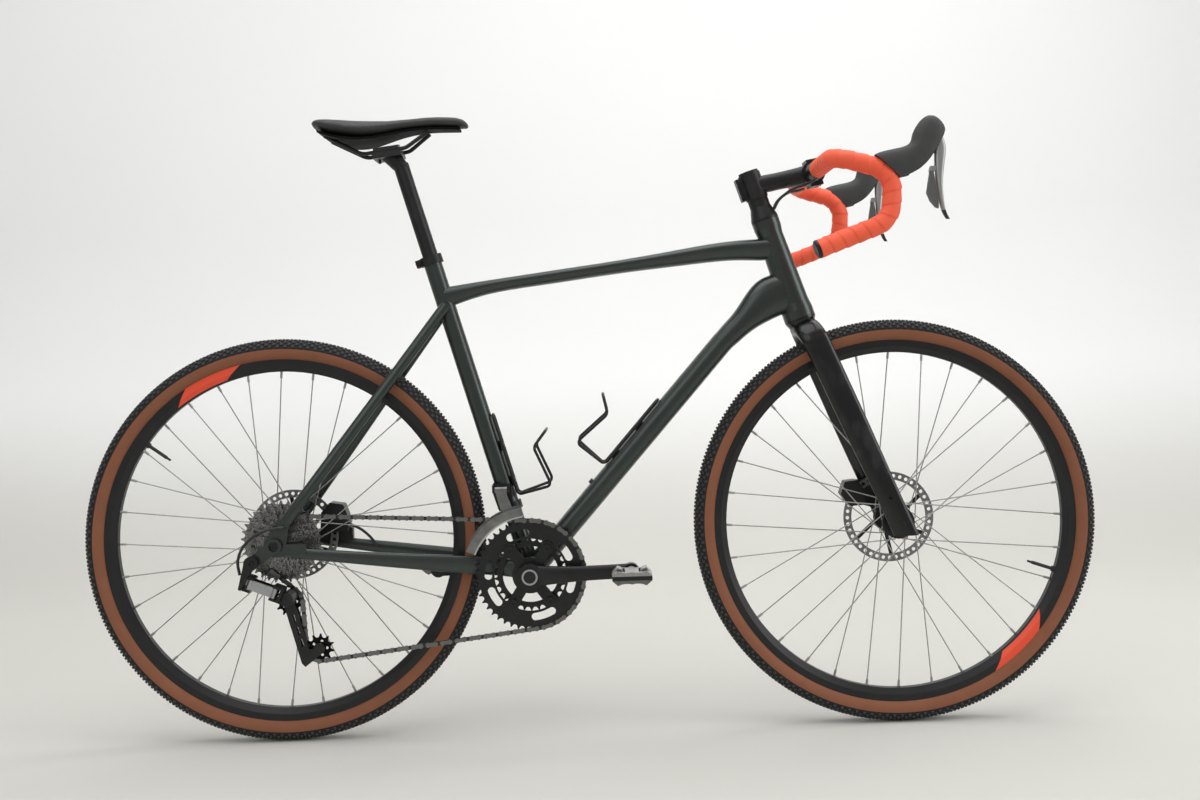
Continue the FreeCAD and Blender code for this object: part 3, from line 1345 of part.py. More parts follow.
def ring_windows(start, stop, inner):
    """Curved slots that lighten the big ring, round its inner edge."""
    half = RING_WINDOW_HEIGHT / 2
    middle = inner + RING_WINDOW_STEP + half
    slots = []
    for angle, span in RING_WINDOWS:
        corners = []
        turns = [span * step / 4 for step in range(-4, 5)]
        for reach, row in ((middle + half, turns), (middle - half, turns[::-1])):
            for turn in row:
                point = around(BB, CRANK_RISE_ANGLE + angle + turn, reach)
                corners.append((point.x, point.z))
        slots.append(plate(corners, start, stop))
        for turn in (-span, span):
            slots.append(cross_cylinder(around(BB, CRANK_RISE_ANGLE + angle + turn, middle), start, stop, half))
    return slots


def build_chainrings(gap_angle):
    """Both rings with their tabs, bolts and stand-offs."""
    reach = RING_BOLT_CIRCLE / 2
    y0 = -CHAIN_OFFSET
    hole = RING_BOLT_DIAMETER / 2 + RUNNING_FIT
    inner = pitch_radius(BIG_RING_TEETH) - ROLLER_RADIUS - BIG_RING_BAND
    big = sprocket(BB, y0, BIG_RING_TEETH, inner, gap_angle)
    small_y = y0 + RING_SPACING
    small_inner = SMALL_RING_BOLT_RADIUS + 8
    small = sprocket(BB, small_y, SMALL_RING_TEETH, small_inner)
    half = SPROCKET_THICKNESS / 2
    big_tabs = []
    small_tabs = []
    holes = []
    bolts = []
    for angle in SPIDER_ANGLES:
        tab = around(BB, CRANK_RISE_ANGLE + angle, reach)
        low_tab = around(BB, CRANK_RISE_ANGLE + angle, SMALL_RING_BOLT_RADIUS)
        rows = (
            (big_tabs, tab, reach, y0, inner),
            (small_tabs, low_tab, SMALL_RING_BOLT_RADIUS, small_y, small_inner),
        )
        for list_of_tabs, centre, radius, y, edge in rows:
            list_of_tabs.append(cross_cylinder(centre, y - half, y + half, SPIDER_TAB_RADIUS - 2))
            corners = []
            root = edge + RING_TAB_ROOT
            for turn, where in ((-15, root), (15, root), (5, radius), (-5, radius)):
                point = around(BB, CRANK_RISE_ANGLE + angle + turn, where)
                corners.append((point.x, point.z))
            list_of_tabs.append(plate(corners, y - half, y + half))
        holes.append(cross_cylinder(tab, 0, -100, hole))
        seat = V(tab.x, -RING_FACE - SEAT_GAP - SPIDER_THICKNESS - SEAT_GAP, tab.z)
        bolts.append(bolt(seat, LEFT * -1, SPIDER_THICKNESS + SPROCKET_THICKNESS, RING_BOLT_DIAMETER,
                          RING_BOLT_DIAMETER + 5))
        bolts.append(cross_cylinder(low_tab, small_y - half - SEAT_GAP, -RING_FACE, RING_BOLT_DIAMETER / 2))
    windows = ring_windows(y0 - SPROCKET_THICKNESS, y0 + SPROCKET_THICKNESS, inner)
    big = fused([big] + big_tabs).cut(holes + windows)
    save("chainrings", big, fused([small] + small_tabs), *bolts)


def pedal(sign, side_sign):
    """Clipless trail pedal: barrel, open body and spring-loaded jaws."""
    eye = BB + crank_direction(sign) * CRANK_LENGTH
    inner = ARM_TIP_OUTER + 5
    outer = inner + PEDAL_WIDTH
    x, z = eye.x, eye.z
    long = PEDAL_LENGTH / 2
    tall = PEDAL_HEIGHT / 2
    outline = [(x - long, z - 4), (x - long + 8, z - 11), (x - 12, z - 9), (x + 12, z - 9),
               (x + long - 8, z - 11),
               (x + long, z - 4), (x + long, z + 4), (x + long - 8, z + 11), (x + 12, z + 9), (x - 12, z + 9),
               (x - long + 8, z + 11), (x - long, z + 4)]
    body = plate(outline, side_sign * (inner + 8), side_sign * outer)
    windows = []
    for centre in (x - long / 2 - 2, x + long / 2 + 2):
        corners = [(centre - 7, z - 30), (centre + 7, z - 30), (centre + 7, z + 30), (centre - 7, z + 30)]
        windows.append(plate(corners, side_sign * (inner + 16), side_sign * (outer - 8)))
    barrel = cross_cylinder(eye, side_sign * inner, side_sign * outer, 10)
    jaws = []
    for end in (-1, 1):
        for up in (-1, 1):
            jaw = [(x + end * 14, z + up * 8), (x + end * (long - 4), z + up * 8),
                   (x + end * (long - 9), z + up * tall),
                   (x + end * 18, z + up * (tall - 2))]
            jaws.append(plate(jaw, side_sign * (inner + 20), side_sign * (outer - 14)))
    solid = fused([body.cut(windows), barrel] + jaws)
    bore_radius = PEDAL_AXLE_DIAMETER / 2 - 2 + RUNNING_FIT
    bore = cross_cylinder(eye, side_sign * (inner - 1), side_sign * (outer - 3), bore_radius)
    return solid.cut(bore)


def build_pedals():
    save("pedal_right", pedal(1, -1))
    save("pedal_left", pedal(-1, 1))


# Rear derailleur


def link_slab(origin, along, axis, y):
    """A box in the link's own directions, each given as a (from, to) pair."""
    corners = []
    for a, b in ((along[0], axis[0]), (along[1], axis[0]), (along[1], axis[1]), (along[0], axis[1])):
        point = origin + LINK_ALONG * a + LINK_AXIS * b
        corners.append((point.x, point.z))
    return plate(corners, y[0], y[1])


def link_pin(origin, y, reach, radius):
    centre = origin + LEFT * y
    return cylinder(centre - LINK_AXIS * reach, centre + LINK_AXIS * reach, radius)


def parallel_link(y):
    """One link of the parallelogram, with a barrel at each end."""
    top = from_rear_axle(LINK_TOP)
    bottom = from_rear_axle(LINK_BOTTOM)
    half = LINK_HEIGHT / 2
    length = (bottom - top).Length
    bar = link_slab(top, (0, length), (-half, half), (y - LINK_THICKNESS / 2, y + LINK_THICKNESS / 2))
    barrels = [link_pin(place, y, half, BARREL_RADIUS) for place in (top, bottom)]
    bores = [link_pin(place, y, half, LINK_PIN_DIAMETER / 2 + RUNNING_FIT) for place in (top, bottom)]
    return fused([bar] + barrels).cut(bores)


def link_fork(place, facing):
    """Two lugs and a web that hold both links' pins; facing points away."""
    half = LINK_HEIGHT / 2 + SOFT_GAP
    wide = LINK_SPREAD / 2 + BARREL_RADIUS + 1.5
    y = (-LINK_PLANE - wide, wide - LINK_PLANE)
    back = sorted((facing * 14, facing * -5))
    lugs = [link_slab(place, back, (half, half + LUG_THICKNESS), y),
            link_slab(place, back, (-half - LUG_THICKNESS, -half), y)]
    web = link_slab(place, sorted((facing * 14, facing * 9)), (-half, half), y)
    pin_room = LINK_PIN_DIAMETER / 2 + SEAT_GAP
    holes = [link_pin(place, spot, half + LUG_THICKNESS, pin_room) for spot in link_places()]
    return fused(lugs + [web]).cut(holes)


def link_places():
    return (-LINK_PLANE - LINK_SPREAD / 2, LINK_SPREAD / 2 - LINK_PLANE)


def fork_pins(place):
    reach = LINK_HEIGHT / 2 + SOFT_GAP + LUG_THICKNESS
    return [link_pin(place, y, reach, LINK_PIN_DIAMETER / 2) for y in link_places()]


def derailleur_knuckle():
    """Fixed knuckle on the hanger, with its bolt."""
    top = from_rear_axle(LINK_TOP)
    bolt_place = from_rear_axle(HANGER_BOLT)
    inner = -HANGER_OUTER - SEAT_GAP
    outer = inner - 9
    eye = cross_cylinder(bolt_place, inner, outer, KNUCKLE_RADIUS)
    web = top - LINK_ALONG * 14
    high = LINK_HEIGHT / 2 + SOFT_GAP + LUG_THICKNESS
    corners = []
    for point in (bolt_place + V(11, 0, 0), bolt_place + V(-11, 0, 3), web - LINK_AXIS * high,
                  web - LINK_AXIS * high + LINK_ALONG * 5, web + LINK_AXIS * high + LINK_ALONG * 9):
        corners.append((point.x, point.z))
    cheek = plate(corners, inner, outer)
    hole = cross_cylinder(bolt_place, 0, -200, BOLT_HEAD / 2 + RUNNING_FIT)
    solid = fused([eye, cheek, link_fork(top, -1)]).cut(hole)
    stem = cross_cylinder(bolt_place, -DROPOUT_INNER - DROPOUT_THICKNESS, outer - 2, BOLT_HEAD / 2)
    key = cross_cylinder(bolt_place, outer, outer - 2, 2.5)
    return [solid, stem.cut(key)] + fork_pins(top)


def cage_knuckle():
    """Moving knuckle: a fork for the links and a barrel for the cage."""
    bottom = from_rear_axle(LINK_BOTTOM)
    pivot = from_rear_axle(CAGE_PIVOT)
    inner = -CAGE_OUTER_PLATE - CAGE_PLATE_THICKNESS - SOFT_GAP
    outer = -LINK_PLANE - LINK_SPREAD / 2
    barrel = cross_cylinder(pivot, inner, outer, KNUCKLE_RADIUS)
    bore = cross_cylinder(pivot, inner, outer + 3, PIVOT_STUB + RUNNING_FIT)
    solid = fused([link_fork(bottom, 1), barrel.cut(swept_ends(bottom))])
    return [solid.cut(bore)] + fork_pins(bottom)


def swept_ends(place):
    """Room for both links' lower ends as they turn."""
    half = LINK_HEIGHT / 2 + SOFT_GAP
    return [link_pin(place, y, half, BARREL_RADIUS + 2) for y in link_places()]


def cage_plate(y0, y1):
    guide = from_rear_axle(GUIDE_PULLEY)
    tension = from_rear_axle(TENSION_PULLEY)
    pivot = from_rear_axle(CAGE_PIVOT)
    along = unit(tension - guide)
    across_way = V(-along.z, 0, along.x)
    foot = tension + V(-CAGE_FOOT, 0, -CAGE_FOOT)
    heel = tension + V(-CAGE_HEEL, 0, 0)
    outline = [guide + across_way * CAGE_ARM_HALF, guide - across_way * CAGE_ARM_HALF, foot + V(-3, 0, 3),
               foot + V(3, 0, -3), tension + V(3, 0, -CAGE_ARM_HALF), tension, heel]
    pieces = [plate([(point.x, point.z) for point in outline], y0, y1),
              cross_cylinder(guide, y0, y1, CAGE_ARM_HALF),
              cross_cylinder(tension, y0, y1, CAGE_ARM_HALF),
              cross_cylinder(pivot, y0, y1, KNUCKLE_RADIUS - 1)]
    middle = (foot + heel) * 0.5
    arm = unit(middle - guide)
    slots = []
    for share in CAGE_SLOT_PLACES:
        centre = guide + (middle - guide) * share
        reach = (-CAGE_SLOT_LENGTH / 2, CAGE_SLOT_LENGTH / 2)
        rise = (-CAGE_SLOT_WIDTH / 2, CAGE_SLOT_WIDTH / 2)
        slots.append(box_along(centre, arm, V(-arm.z, 0, arm.x), reach, rise, CHAIN_OFFSET * 2))
    return fused(pieces).cut(slots)


def derailleur_cage():
    """Two plates joined by the pulley bolts, and the pivot in the knuckle."""
    outer = -CAGE_OUTER_PLATE
    inner = CAGE_PLATE_GAP / 2 - CHAIN_OFFSET
    pieces = [cage_plate(outer - CAGE_PLATE_THICKNESS, outer),
              cage_plate(inner, inner + CAGE_PLATE_THICKNESS)]
    for place in (GUIDE_PULLEY, TENSION_PULLEY):
        pieces.append(cross_cylinder(from_rear_axle(place), outer, inner, PULLEY_BOLT_DIAMETER / 2))
    stub_end = -LINK_PLANE - LINK_SPREAD / 2 + 3 + SOFT_GAP
    pieces.append(cross_cylinder(from_rear_axle(CAGE_PIVOT), outer, stub_end, PIVOT_STUB))
    return fused(pieces)


def pulley(offset, gap_angle):
    centre = from_rear_axle(offset)
    bore = PULLEY_BOLT_DIAMETER / 2 + RUNNING_FIT
    wheel = sprocket(centre, -CHAIN_OFFSET, PULLEY_TEETH, bore, gap_angle)
    half = CAGE_PLATE_GAP / 2 - SOFT_GAP
    collar = cross_ring(centre, -CHAIN_OFFSET - half, half - CHAIN_OFFSET, 7, bore)
    windows = [cross_cylinder(around(centre, 72 * step, 12), 0, -100, 2.6) for step in range(5)]
    return fused([wheel.cut(windows), collar])


def build_rear_derailleur(gaps):
    outer_y, inner_y = link_places()
    save("rear_derailleur_knuckle", *derailleur_knuckle())
    save("derailleur_outer_link", parallel_link(outer_y))
    save("derailleur_inner_link", parallel_link(inner_y))
    save("derailleur_cage_knuckle", *cage_knuckle())
    save("derailleur_cage", derailleur_cage())
    save("guide_pulley", pulley(GUIDE_PULLEY, gaps[2]))
    save("tension_pulley", pulley(TENSION_PULLEY, gaps[3]))


# Front derailleur


def front_pivot():
    return BB + V(-FRONT_SWING_SETBACK, -FRONT_SWING_OFFSET, FRONT_SWING_RISE)


def front_derailleur_mount():
    """Band round the seat tube, and the arm that carries the swing pin."""
    middle = BB + SEAT_UP * FRONT_MOUNT_HEIGHT
    reach = SEAT_UP * 7
    band = cylinder(middle - reach, middle + reach, SEAT_TUBE_DIAMETER / 2 + 4)
    tube = cylinder(BB, BB + SEAT_UP * SEAT_TUBE_LENGTH, SEAT_TUBE_DIAMETER / 2 + SEAT_GAP)
    pivot = front_pivot()
    x, z = pivot.x, pivot.z
    wall = -FRONT_SWING_OFFSET
    foot = middle.z - 5
    corners = [(x - 10, z - 7), (x, foot), (x + 26, foot), (x + 22, z + 8), (x - 10, z + 9)]
    block = plate(corners, wall + 5.5, 0)
    cheeks = []
    for start, end in ((x - 10, x - 6), (x + 16, x + 20)):
        cheeks.append(plate([(start, z - 5), (end, z - 5), (end, z + 8), (start, z + 8)], wall - 6, wall + 6))
    pin = cylinder(pivot - V(10, 0, 0), pivot + V(20, 0, 0), LINK_PIN_DIAMETER / 2)
    return [fused([band, block] + cheeks + [pin]).cut(tube)]


def front_derailleur_cage():
    """Cage plates that hug the big ring, their bridges and the swing arm."""
    pivot = front_pivot()
    low = pitch_radius(BIG_RING_TEETH) + PLATE_HALF_HEIGHT + FRONT_CAGE_CLEARANCE
    high = low + FRONT_CAGE_DEPTH
    outer_face = -CHAIN_OFFSET - FRONT_CAGE_GAP / 2
    inner_face = FRONT_CAGE_GAP / 2 - CHAIN_OFFSET

    def sector(y0, y1, start, end, r0, r1):
        ring = cross_ring(BB, y0, y1, r1, r0)
        corners = [(BB.x, BB.z)]
        for angle in (start, (start + end) / 2, end):
            point = around(BB, angle, 200)
            corners.append((point.x, point.z))
        return ring.common(plate(corners, y0, y1))

    outer = sector(outer_face - 1.5, outer_face, 96, 158, low, high)
    inner = sector(inner_face, inner_face + 1.5, 96, 150, low - 1, high + 3)
    roof = sector(outer_face - 1.5, inner_face + 1.5, 96, 112, high - 2, high)
    tail = sector(outer_face - 1.5, inner_face + 1.5, 146, 150, low, low + 6)
    x, z = pivot.x, pivot.z
    barrel = cylinder(pivot - V(5.5, 0, 0), pivot + V(15.5, 0, 0), 5)
    arm = plate([(x - 5.5, z), (x + 15.5, z), (x + 15.5, z - 9), (x + 24, BB.z + high - 3),
                 (x + 4, BB.z + high - 6)], inner_face + 0.5, inner_face + 4.5)
    shoulder = plate([(x - 5.5, z - 4.5), (x + 15.5, z - 4.5), (x + 15.5, z + 2), (x - 5.5, z + 2)],
                     inner_face + 0.5, -FRONT_SWING_OFFSET)
    bore = cylinder(pivot - V(20, 0, 0), pivot + V(30, 0, 0), LINK_PIN_DIAMETER / 2 + RUNNING_FIT)
    return fused([outer, inner, roof, tail, barrel, arm, shoulder]).cut(bore)


def build_front_derailleur():
    save("front_derailleur_mount", *front_derailleur_mount())
    save("front_derailleur_cage", front_derailleur_cage())


# Cockpit


def box_along(origin, forward, up, reach, rise, half_width):
    """A box across Y in the directions given, with (from, to) pairs."""
    corners = []
    for a, b in ((reach[0], rise[0]), (reach[1], rise[0]), (reach[1], rise[1]), (reach[0], rise[1])):
        point = origin + forward * a + up * b
        corners.append((point.x, point.z))
    return plate(corners, -half_width, half_width)


def headset_spacers():
    """The coned headset cover and the spacer between it and the stem."""
    bore = STEERER_DIAMETER / 2 + RUNNING_FIT
    head = HEAD_TOP_DIAMETER / 2
    ring = SPACER_DIAMETER / 2
    cover = [(SOFT_GAP, bore), (SOFT_GAP, head), (4, head), (COVER_HEIGHT, ring), (COVER_HEIGHT, bore)]
    low = COVER_HEIGHT + SEAT_GAP
    high = SPACER_HEIGHT - SEAT_GAP
    spacer = [(low, bore), (low, ring), (high, ring), (high, bore)]
    return [turned(cover, HEAD_TOP, HEAD_UP), turned(spacer, HEAD_TOP, HEAD_UP)]


def stem():
    """Stem body, its split face plate, the top cap and all clamp bolts."""
    top = STEM_BASE + HEAD_UP * STEM_CLAMP_HEIGHT
    clamp = cylinder(STEM_BASE, top, STEM_CLAMP_RADIUS)
    half = STEM_BODY_DEPTH / 2
    body = loft([
        oval(STEM_CENTRE, LEFT, STEM_UP, half + 1, half, 2.4),
        oval(STEM_CENTRE + STEM_FORWARD * (STEM_LENGTH / 2), LEFT, STEM_UP, half - 0.5, half - 1.5, 2.4),
        oval(BAR_CENTRE - STEM_FORWARD * 12, LEFT, STEM_UP, half + 3, half, 2.6),
    ])
    bar_clamp = across(BAR_CENTRE, BAR_CLAMP_HALF_WIDTH, BAR_CLAMP_RADIUS)
    rise = BAR_CLAMP_RADIUS + 3
    ears = [box_along(BAR_CENTRE, STEM_FORWARD, STEM_UP, (-9, 10), pair, BAR_CLAMP_HALF_WIDTH)
            for pair in ((BAR_CLAMP_RADIUS - 7, rise), (-rise, 7 - BAR_CLAMP_RADIUS))]
    rear_ear = box_along(STEM_CENTRE, HEAD_FORWARD, HEAD_UP, (-STEM_CLAMP_RADIUS - 8, 0), (-20, 20), 11)
    solid = fused([clamp, body, bar_clamp, rear_ear] + ears)
    steer_bore = cylinder(STEM_BASE - HEAD_UP, top + HEAD_UP, STEERER_DIAMETER / 2 + SEAT_GAP)
    bar_bore = across(BAR_CENTRE, BAR_CLAMP_HALF_WIDTH + 1, BAR_CLAMP_DIAMETER / 2 + SEAT_GAP)
    split = box_along(BAR_CENTRE, STEM_FORWARD, STEM_UP, (3, 4.2), (-40, 40), 60)
    slot = box_along(STEM_CENTRE, HEAD_FORWARD, HEAD_UP, (-STEM_CLAMP_RADIUS - 9, -10), (-30, 30), 1)
    bolts = []
    holes = [steer_bore, bar_bore, split, slot]
    for y in (-13, 13):
        for up in (-1, 1):
            seat = BAR_CENTRE + STEM_FORWARD * (10 + SEAT_GAP) + LEFT * y
            seat += STEM_UP * (up * (BAR_CLAMP_RADIUS - 1))
            bolts.append(bolt(seat, STEM_FORWARD, 17, 4, 7))
            holes.append(cylinder(seat - STEM_FORWARD * 18, seat + STEM_FORWARD, 2 + RUNNING_FIT))
    for up in (-11, 11):
        seat = STEM_CENTRE + HEAD_UP * up - HEAD_FORWARD * (STEM_CLAMP_RADIUS + 3) - LEFT * (11 + SEAT_GAP)
        bolts.append(bolt(seat, LEFT * -1, 20))
        holes.append(cylinder(seat - LEFT, seat + LEFT * 21, BOLT_SHANK / 2 + RUNNING_FIT))
    cap_start = top + HEAD_UP * SEAT_GAP
    cap = cylinder(cap_start, cap_start + HEAD_UP * 4, STEM_CLAMP_RADIUS - 2)
    cap = cap.cut(cylinder(cap_start + HEAD_UP * 2, cap_start + HEAD_UP * 5, 5))
    return [solid.cut(holes), cap] + bolts


def bar_points():
    """Corner points of the right half of the bar, from its top to its end."""
    top = BAR_CENTRE - LEFT * BAR_TOP_HALF_WIDTH
    hook = top + V(BAR_REACH, -BAR_FLARE * 0.25, -BAR_RAMP_FALL)
    turn = top + V(BAR_REACH - 7, -BAR_FLARE * 0.6, -BAR_DROP)
    end = turn + V(-BAR_HOOK_LENGTH, -BAR_FLARE * 0.6, -BAR_END_FALL)
    return [top, hook, turn, end]


def bar_rod(start_y, radius):
    points = [BAR_CENTRE - LEFT * start_y] + bar_points()
    return rod(rounded_path(points, (BAR_BEND_RADIUS - 4, BAR_BEND_RADIUS, BAR_BEND_RADIUS)), radius)


def bar_core(wall):
    """Bar solid, thick at the stem and slim under the tape."""
    slim = BAR_DIAMETER / 2 - wall
    thick = BAR_CLAMP_DIAMETER / 2 - wall
    flat = BAR_CLAMP_HALF_WIDTH + 16
    outline = [(-BAR_SHOULDER, 0), (-BAR_SHOULDER, slim), (-flat, thick), (flat, thick), (BAR_SHOULDER, slim),
               (BAR_SHOULDER, 0)]
    half = bar_rod(BAR_SHOULDER, slim)
    return fused([turned(outline, BAR_CENTRE, LEFT), half, mirrored(half)])


def bar_plug():
    """End plug that closes the bar and holds the tape's end."""
    before, end = bar_points()[-2:]
    along = unit(end - before)
    rim_radius = BAR_DIAMETER / 2 + TAPE_THICKNESS
    outline = [(SEAT_GAP, 0), (SEAT_GAP, rim_radius), (3, rim_radius - 0.5), (5, rim_radius - 4), (5.5, 0)]
    return turned(outline, end, along)


def at_bar(dx, dz, y=0.0):
    """A place given from the bar's centre in the side view."""
    return BAR_CENTRE + V(dx, y, dz)


def lever_hood(tape_core):
    """Rubber hood over the lever body, with the slot for the blade."""
    sections = []
    for top, bottom, width in HOOD_SECTIONS:
        high = at_bar(*top, -HOOD_PLANE)
        low = at_bar(*bottom, -HOOD_PLANE)
        rise = high - low
        sections.append(oval((high + low) * 0.5, LEFT, unit(rise), width / 2, rise.Length / 2, 2.3))
    hood = loft(sections).cut(tape_core)
    half = LEVER_WIDTH / 2 + LEVER_SLOT_GAP
    corners = []
    for dx, dz in LEVER_SLOT:
        point = at_bar(dx, dz)
        corners.append((point.x, point.z))
    slot = plate(corners, -HOOD_PLANE - half, half - HOOD_PLANE)
    pivot = at_bar(*LEVER_PIVOT)
    reach = LEVER_WIDTH / 2 + 5
    hole = cross_cylinder(pivot, -HOOD_PLANE - reach, reach - HOOD_PLANE, LEVER_PIN_DIAMETER / 2 + SEAT_GAP)
    carved = hood.cut([slot, hole])
    body = max(carved.Solids, key=lambda solid: solid.Volume)
    pin = cross_cylinder(pivot, -HOOD_PLANE - reach, reach - HOOD_PLANE, LEVER_PIN_DIAMETER / 2)
    return [body, pin]


def brake_lever():
    """Brake blade with its pivot eye and the lug for the shift paddle."""
    sections = []
    for dx, dz, half_depth, half_width in LEVER_STATIONS:
        sections.append(oval(at_bar(dx, dz, -HOOD_PLANE), LEFT, V(1, 0, 0), half_width, half_depth, 2.4))
    axis = at_bar(PADDLE_AXIS_X, PADDLE_TOP, -HOOD_PLANE)
    corners = []
    for dx, dz in ((-4, SOFT_GAP), (14, SOFT_GAP), (14, 8), (-2, 8)):
        corners.append((axis.x + dx, axis.z + dz))
    lug = plate(corners, axis.y - 4, axis.y + 4)
    pin = cylinder(axis - UP * 12, axis + UP * 4, PADDLE_PIN_DIAMETER / 2)
    hole = cross_cylinder(at_bar(*LEVER_PIVOT), 0, -2 * HOOD_PLANE, LEVER_PIN_DIAMETER / 2 + RUNNING_FIT)
    return fused([loft(sections), lug, pin]).cut(hole)


def shift_paddle():
    """Shift paddle on its own upright pin behind the brake blade."""
    axis = at_bar(PADDLE_AXIS_X, PADDLE_TOP, -HOOD_PLANE)
    barrel = cylinder(axis - UP * 12, axis, 4)
    corners = []
    for dx, dz in PADDLE_OUTLINE:
        corners.append((axis.x + dx, axis.z + dz))
    blade = plate(corners, axis.y - 3, axis.y + 3)
    bore = cylinder(axis - UP * 13, axis + UP, PADDLE_PIN_DIAMETER / 2 + RUNNING_FIT)
    return fused([barrel, blade]).cut(bore)


def cord_path(points):
    """A hose's route: each arc as large as its two runs allow."""
    radii = []
    for before, corner, after in zip(points, points[1:], points[2:]):
        into = corner - before
        out = after - corner
        half_turn = acos(unit(into).dot(unit(out))) / 2
        radii.append(0.45 * min(into.Length, out.Length) / tan(half_turn))
    print("hose bend radii", [round(radius, 1) for radius in radii])
    return rounded_path(points, radii)


def cockpit_hose():
    """Right brake hose, from under the tape to the headset cover."""
    cover = HEAD_TOP + HEAD_UP * 13 + HEAD_FORWARD * 20
    points = [
        at_bar(-4, -18, -TAPE_START - 6),
        at_bar(-16, -23, -TAPE_START + 16),
        at_bar(-39, -28, -22),
        cover + V(9, -10, 17),
        cover - LEFT * 8,
    ]
    return rod(cord_path(points), HOSE_DIAMETER / 2)


def build_cockpit():
    spacers = headset_spacers()
    save("headset_spacers", *spacers)
    save("stem", *stem())
    save("handlebar", bar_core(0).cut(bar_core(BAR_WALL)), *both_sides(bar_plug()))
    tape_radius = BAR_DIAMETER / 2 + TAPE_THICKNESS
    tape = bar_rod(TAPE_START, tape_radius).cut(bar_rod(TAPE_START - 1, BAR_DIAMETER / 2 + SEAT_GAP))
    save("bar_tape", *both_sides(tape))
    hood = lever_hood(bar_rod(TAPE_START, tape_radius + SEAT_GAP))
    save("lever_hoods", *[solid for piece in hood for solid in both_sides(piece)])
    for name, piece in (("brake_lever", brake_lever()), ("shift_paddle", shift_paddle())):
        save(name + "_right", piece)
        save(name + "_left", mirrored(piece))
    hose = cockpit_hose().cut(spacers)
    save("cockpit_hoses", *both_sides(hose))


# Saddle and seatpost

# Saddle stations: share of the length from the rear, half width as a share,
# drop of the top below the saddle height, and drop of the underside


def saddle_pad():
    """Crowned pad whose sides draw in above its lower edge."""
    sections = []
    for share, wide, top_drop, low_drop in SADDLE_STATIONS:
        x = SADDLE_REAR + SADDLE_LENGTH * share
        half = SADDLE_WIDTH / 2 * wide
        top = SADDLE_HEIGHT - top_drop
        low = SADDLE_HEIGHT - low_drop
        crown = min(0.1 * half, 0.3 * (top - low))

        def spot(y, z):
            return V(x, y, z)

        shoulder = top - crown
        waist = low + 0.5 * (shoulder - low)
        edges = [
            Part.LineSegment(spot(-0.9 * half, low), spot(0.9 * half, low)),
            Part.Arc(spot(0.9 * half, low), spot(half, waist), spot(0.82 * half, shoulder)),
            Part.Arc(spot(0.82 * half, shoulder), spot(0, top), spot(-0.82 * half, shoulder)),
            Part.Arc(spot(-0.82 * half, shoulder), spot(-half, waist), spot(-0.9 * half, low)),
        ]
        sections.append(Part.Wire([edge.toShape() for edge in edges]))
    return loft(sections)


def saddle_shell():
    """Stiff base under the pad."""
    sections = []
    for share, wide, _, low_drop in SADDLE_STATIONS[1:-1]:
        x = SADDLE_REAR + SADDLE_LENGTH * share
        half = SADDLE_WIDTH / 2 * wide * 0.86
        top = SADDLE_HEIGHT - low_drop - SOFT_GAP
        corners = [V(x, y, z) for y, z in ((-half, top), (half, top), (half - 1, top - SHELL_THICKNESS),
                                           (1 - half, top - SHELL_THICKNESS))]
        sections.append(Part.makePolygon(corners + corners[:1]))
    return loft(sections)


def saddle_rail(radius):
    """Right rail: straight in the clamp, bent up to the shell at both ends."""
    y = -RAIL_SPACING / 2
    rear = V(SADDLE_REAR + 22, y - 10, SADDLE_HEIGHT - 32)
    front = V(SADDLE_REAR + 0.735 * SADDLE_LENGTH, y + 8, SADDLE_HEIGHT - 27)
    points = [
        rear,
        CLAMP_CENTRE - RAIL_ALONG * 42 + LEFT * y,
        CLAMP_CENTRE + RAIL_ALONG * 34 + LEFT * y,
        front,
    ]
    return rod(rounded_path(points, (26, 20)), radius)


def clamp_slab(reach, rise):
    return box_along(CLAMP_CENTRE, RAIL_ALONG, RAIL_UP, (-reach, reach), rise, CLAMP_HALF_WIDTH)


def build_saddle():
    rails = both_sides(saddle_rail(RAIL_DIAMETER / 2))
    rooms = both_sides(saddle_rail(RAIL_DIAMETER / 2 + SEAT_GAP))
    save("saddle_pad", saddle_pad())
    save("saddle_shell", cut_all(saddle_shell(), rooms))
    save("saddle_rails", *rails)
    half_gap = 0.4
    low = -RAIL_DIAMETER - 4
    lower = clamp_slab(CLAMP_HALF_LENGTH, (low, -half_gap))
    upper = clamp_slab(CLAMP_HALF_LENGTH - 3, (half_gap, RAIL_DIAMETER))
    holes = []
    bolts = []
    for along in (-17, 17):
        seat = CLAMP_CENTRE + RAIL_ALONG * along + RAIL_UP * (RAIL_DIAMETER + SEAT_GAP)
        bolts.append(bolt(seat, RAIL_UP, RAIL_DIAMETER * 2 + 10))
        holes.append(cylinder(seat - RAIL_UP * 40, seat + RAIL_UP, BOLT_SHANK / 2 + RUNNING_FIT))
    bottom = SEAT_TOP - SEAT_UP * SEATPOST_INSERTED
    tube = cylinder(bottom, POST_TOP, SEATPOST_DIAMETER / 2)
    hollow = cylinder(bottom, POST_TOP - SEAT_UP * 10, SEATPOST_DIAMETER / 2 - SEATPOST_WALL)
    collar = SEATPOST_DIAMETER / 2 + 0.6
    neck = loft([
        oval(POST_TOP - SEAT_UP * 6, LEFT, SEAT_FORWARD, collar, collar),
        oval(CLAMP_CENTRE + RAIL_UP * (low + 5) + RAIL_ALONG * 2, LEFT, RAIL_ALONG, 16, 19, 2.4),
    ])
    post = fused([tube, neck, lower])
    save("seatpost", post.cut([hollow] + rooms + holes), upper.cut(rooms + holes), *bolts)


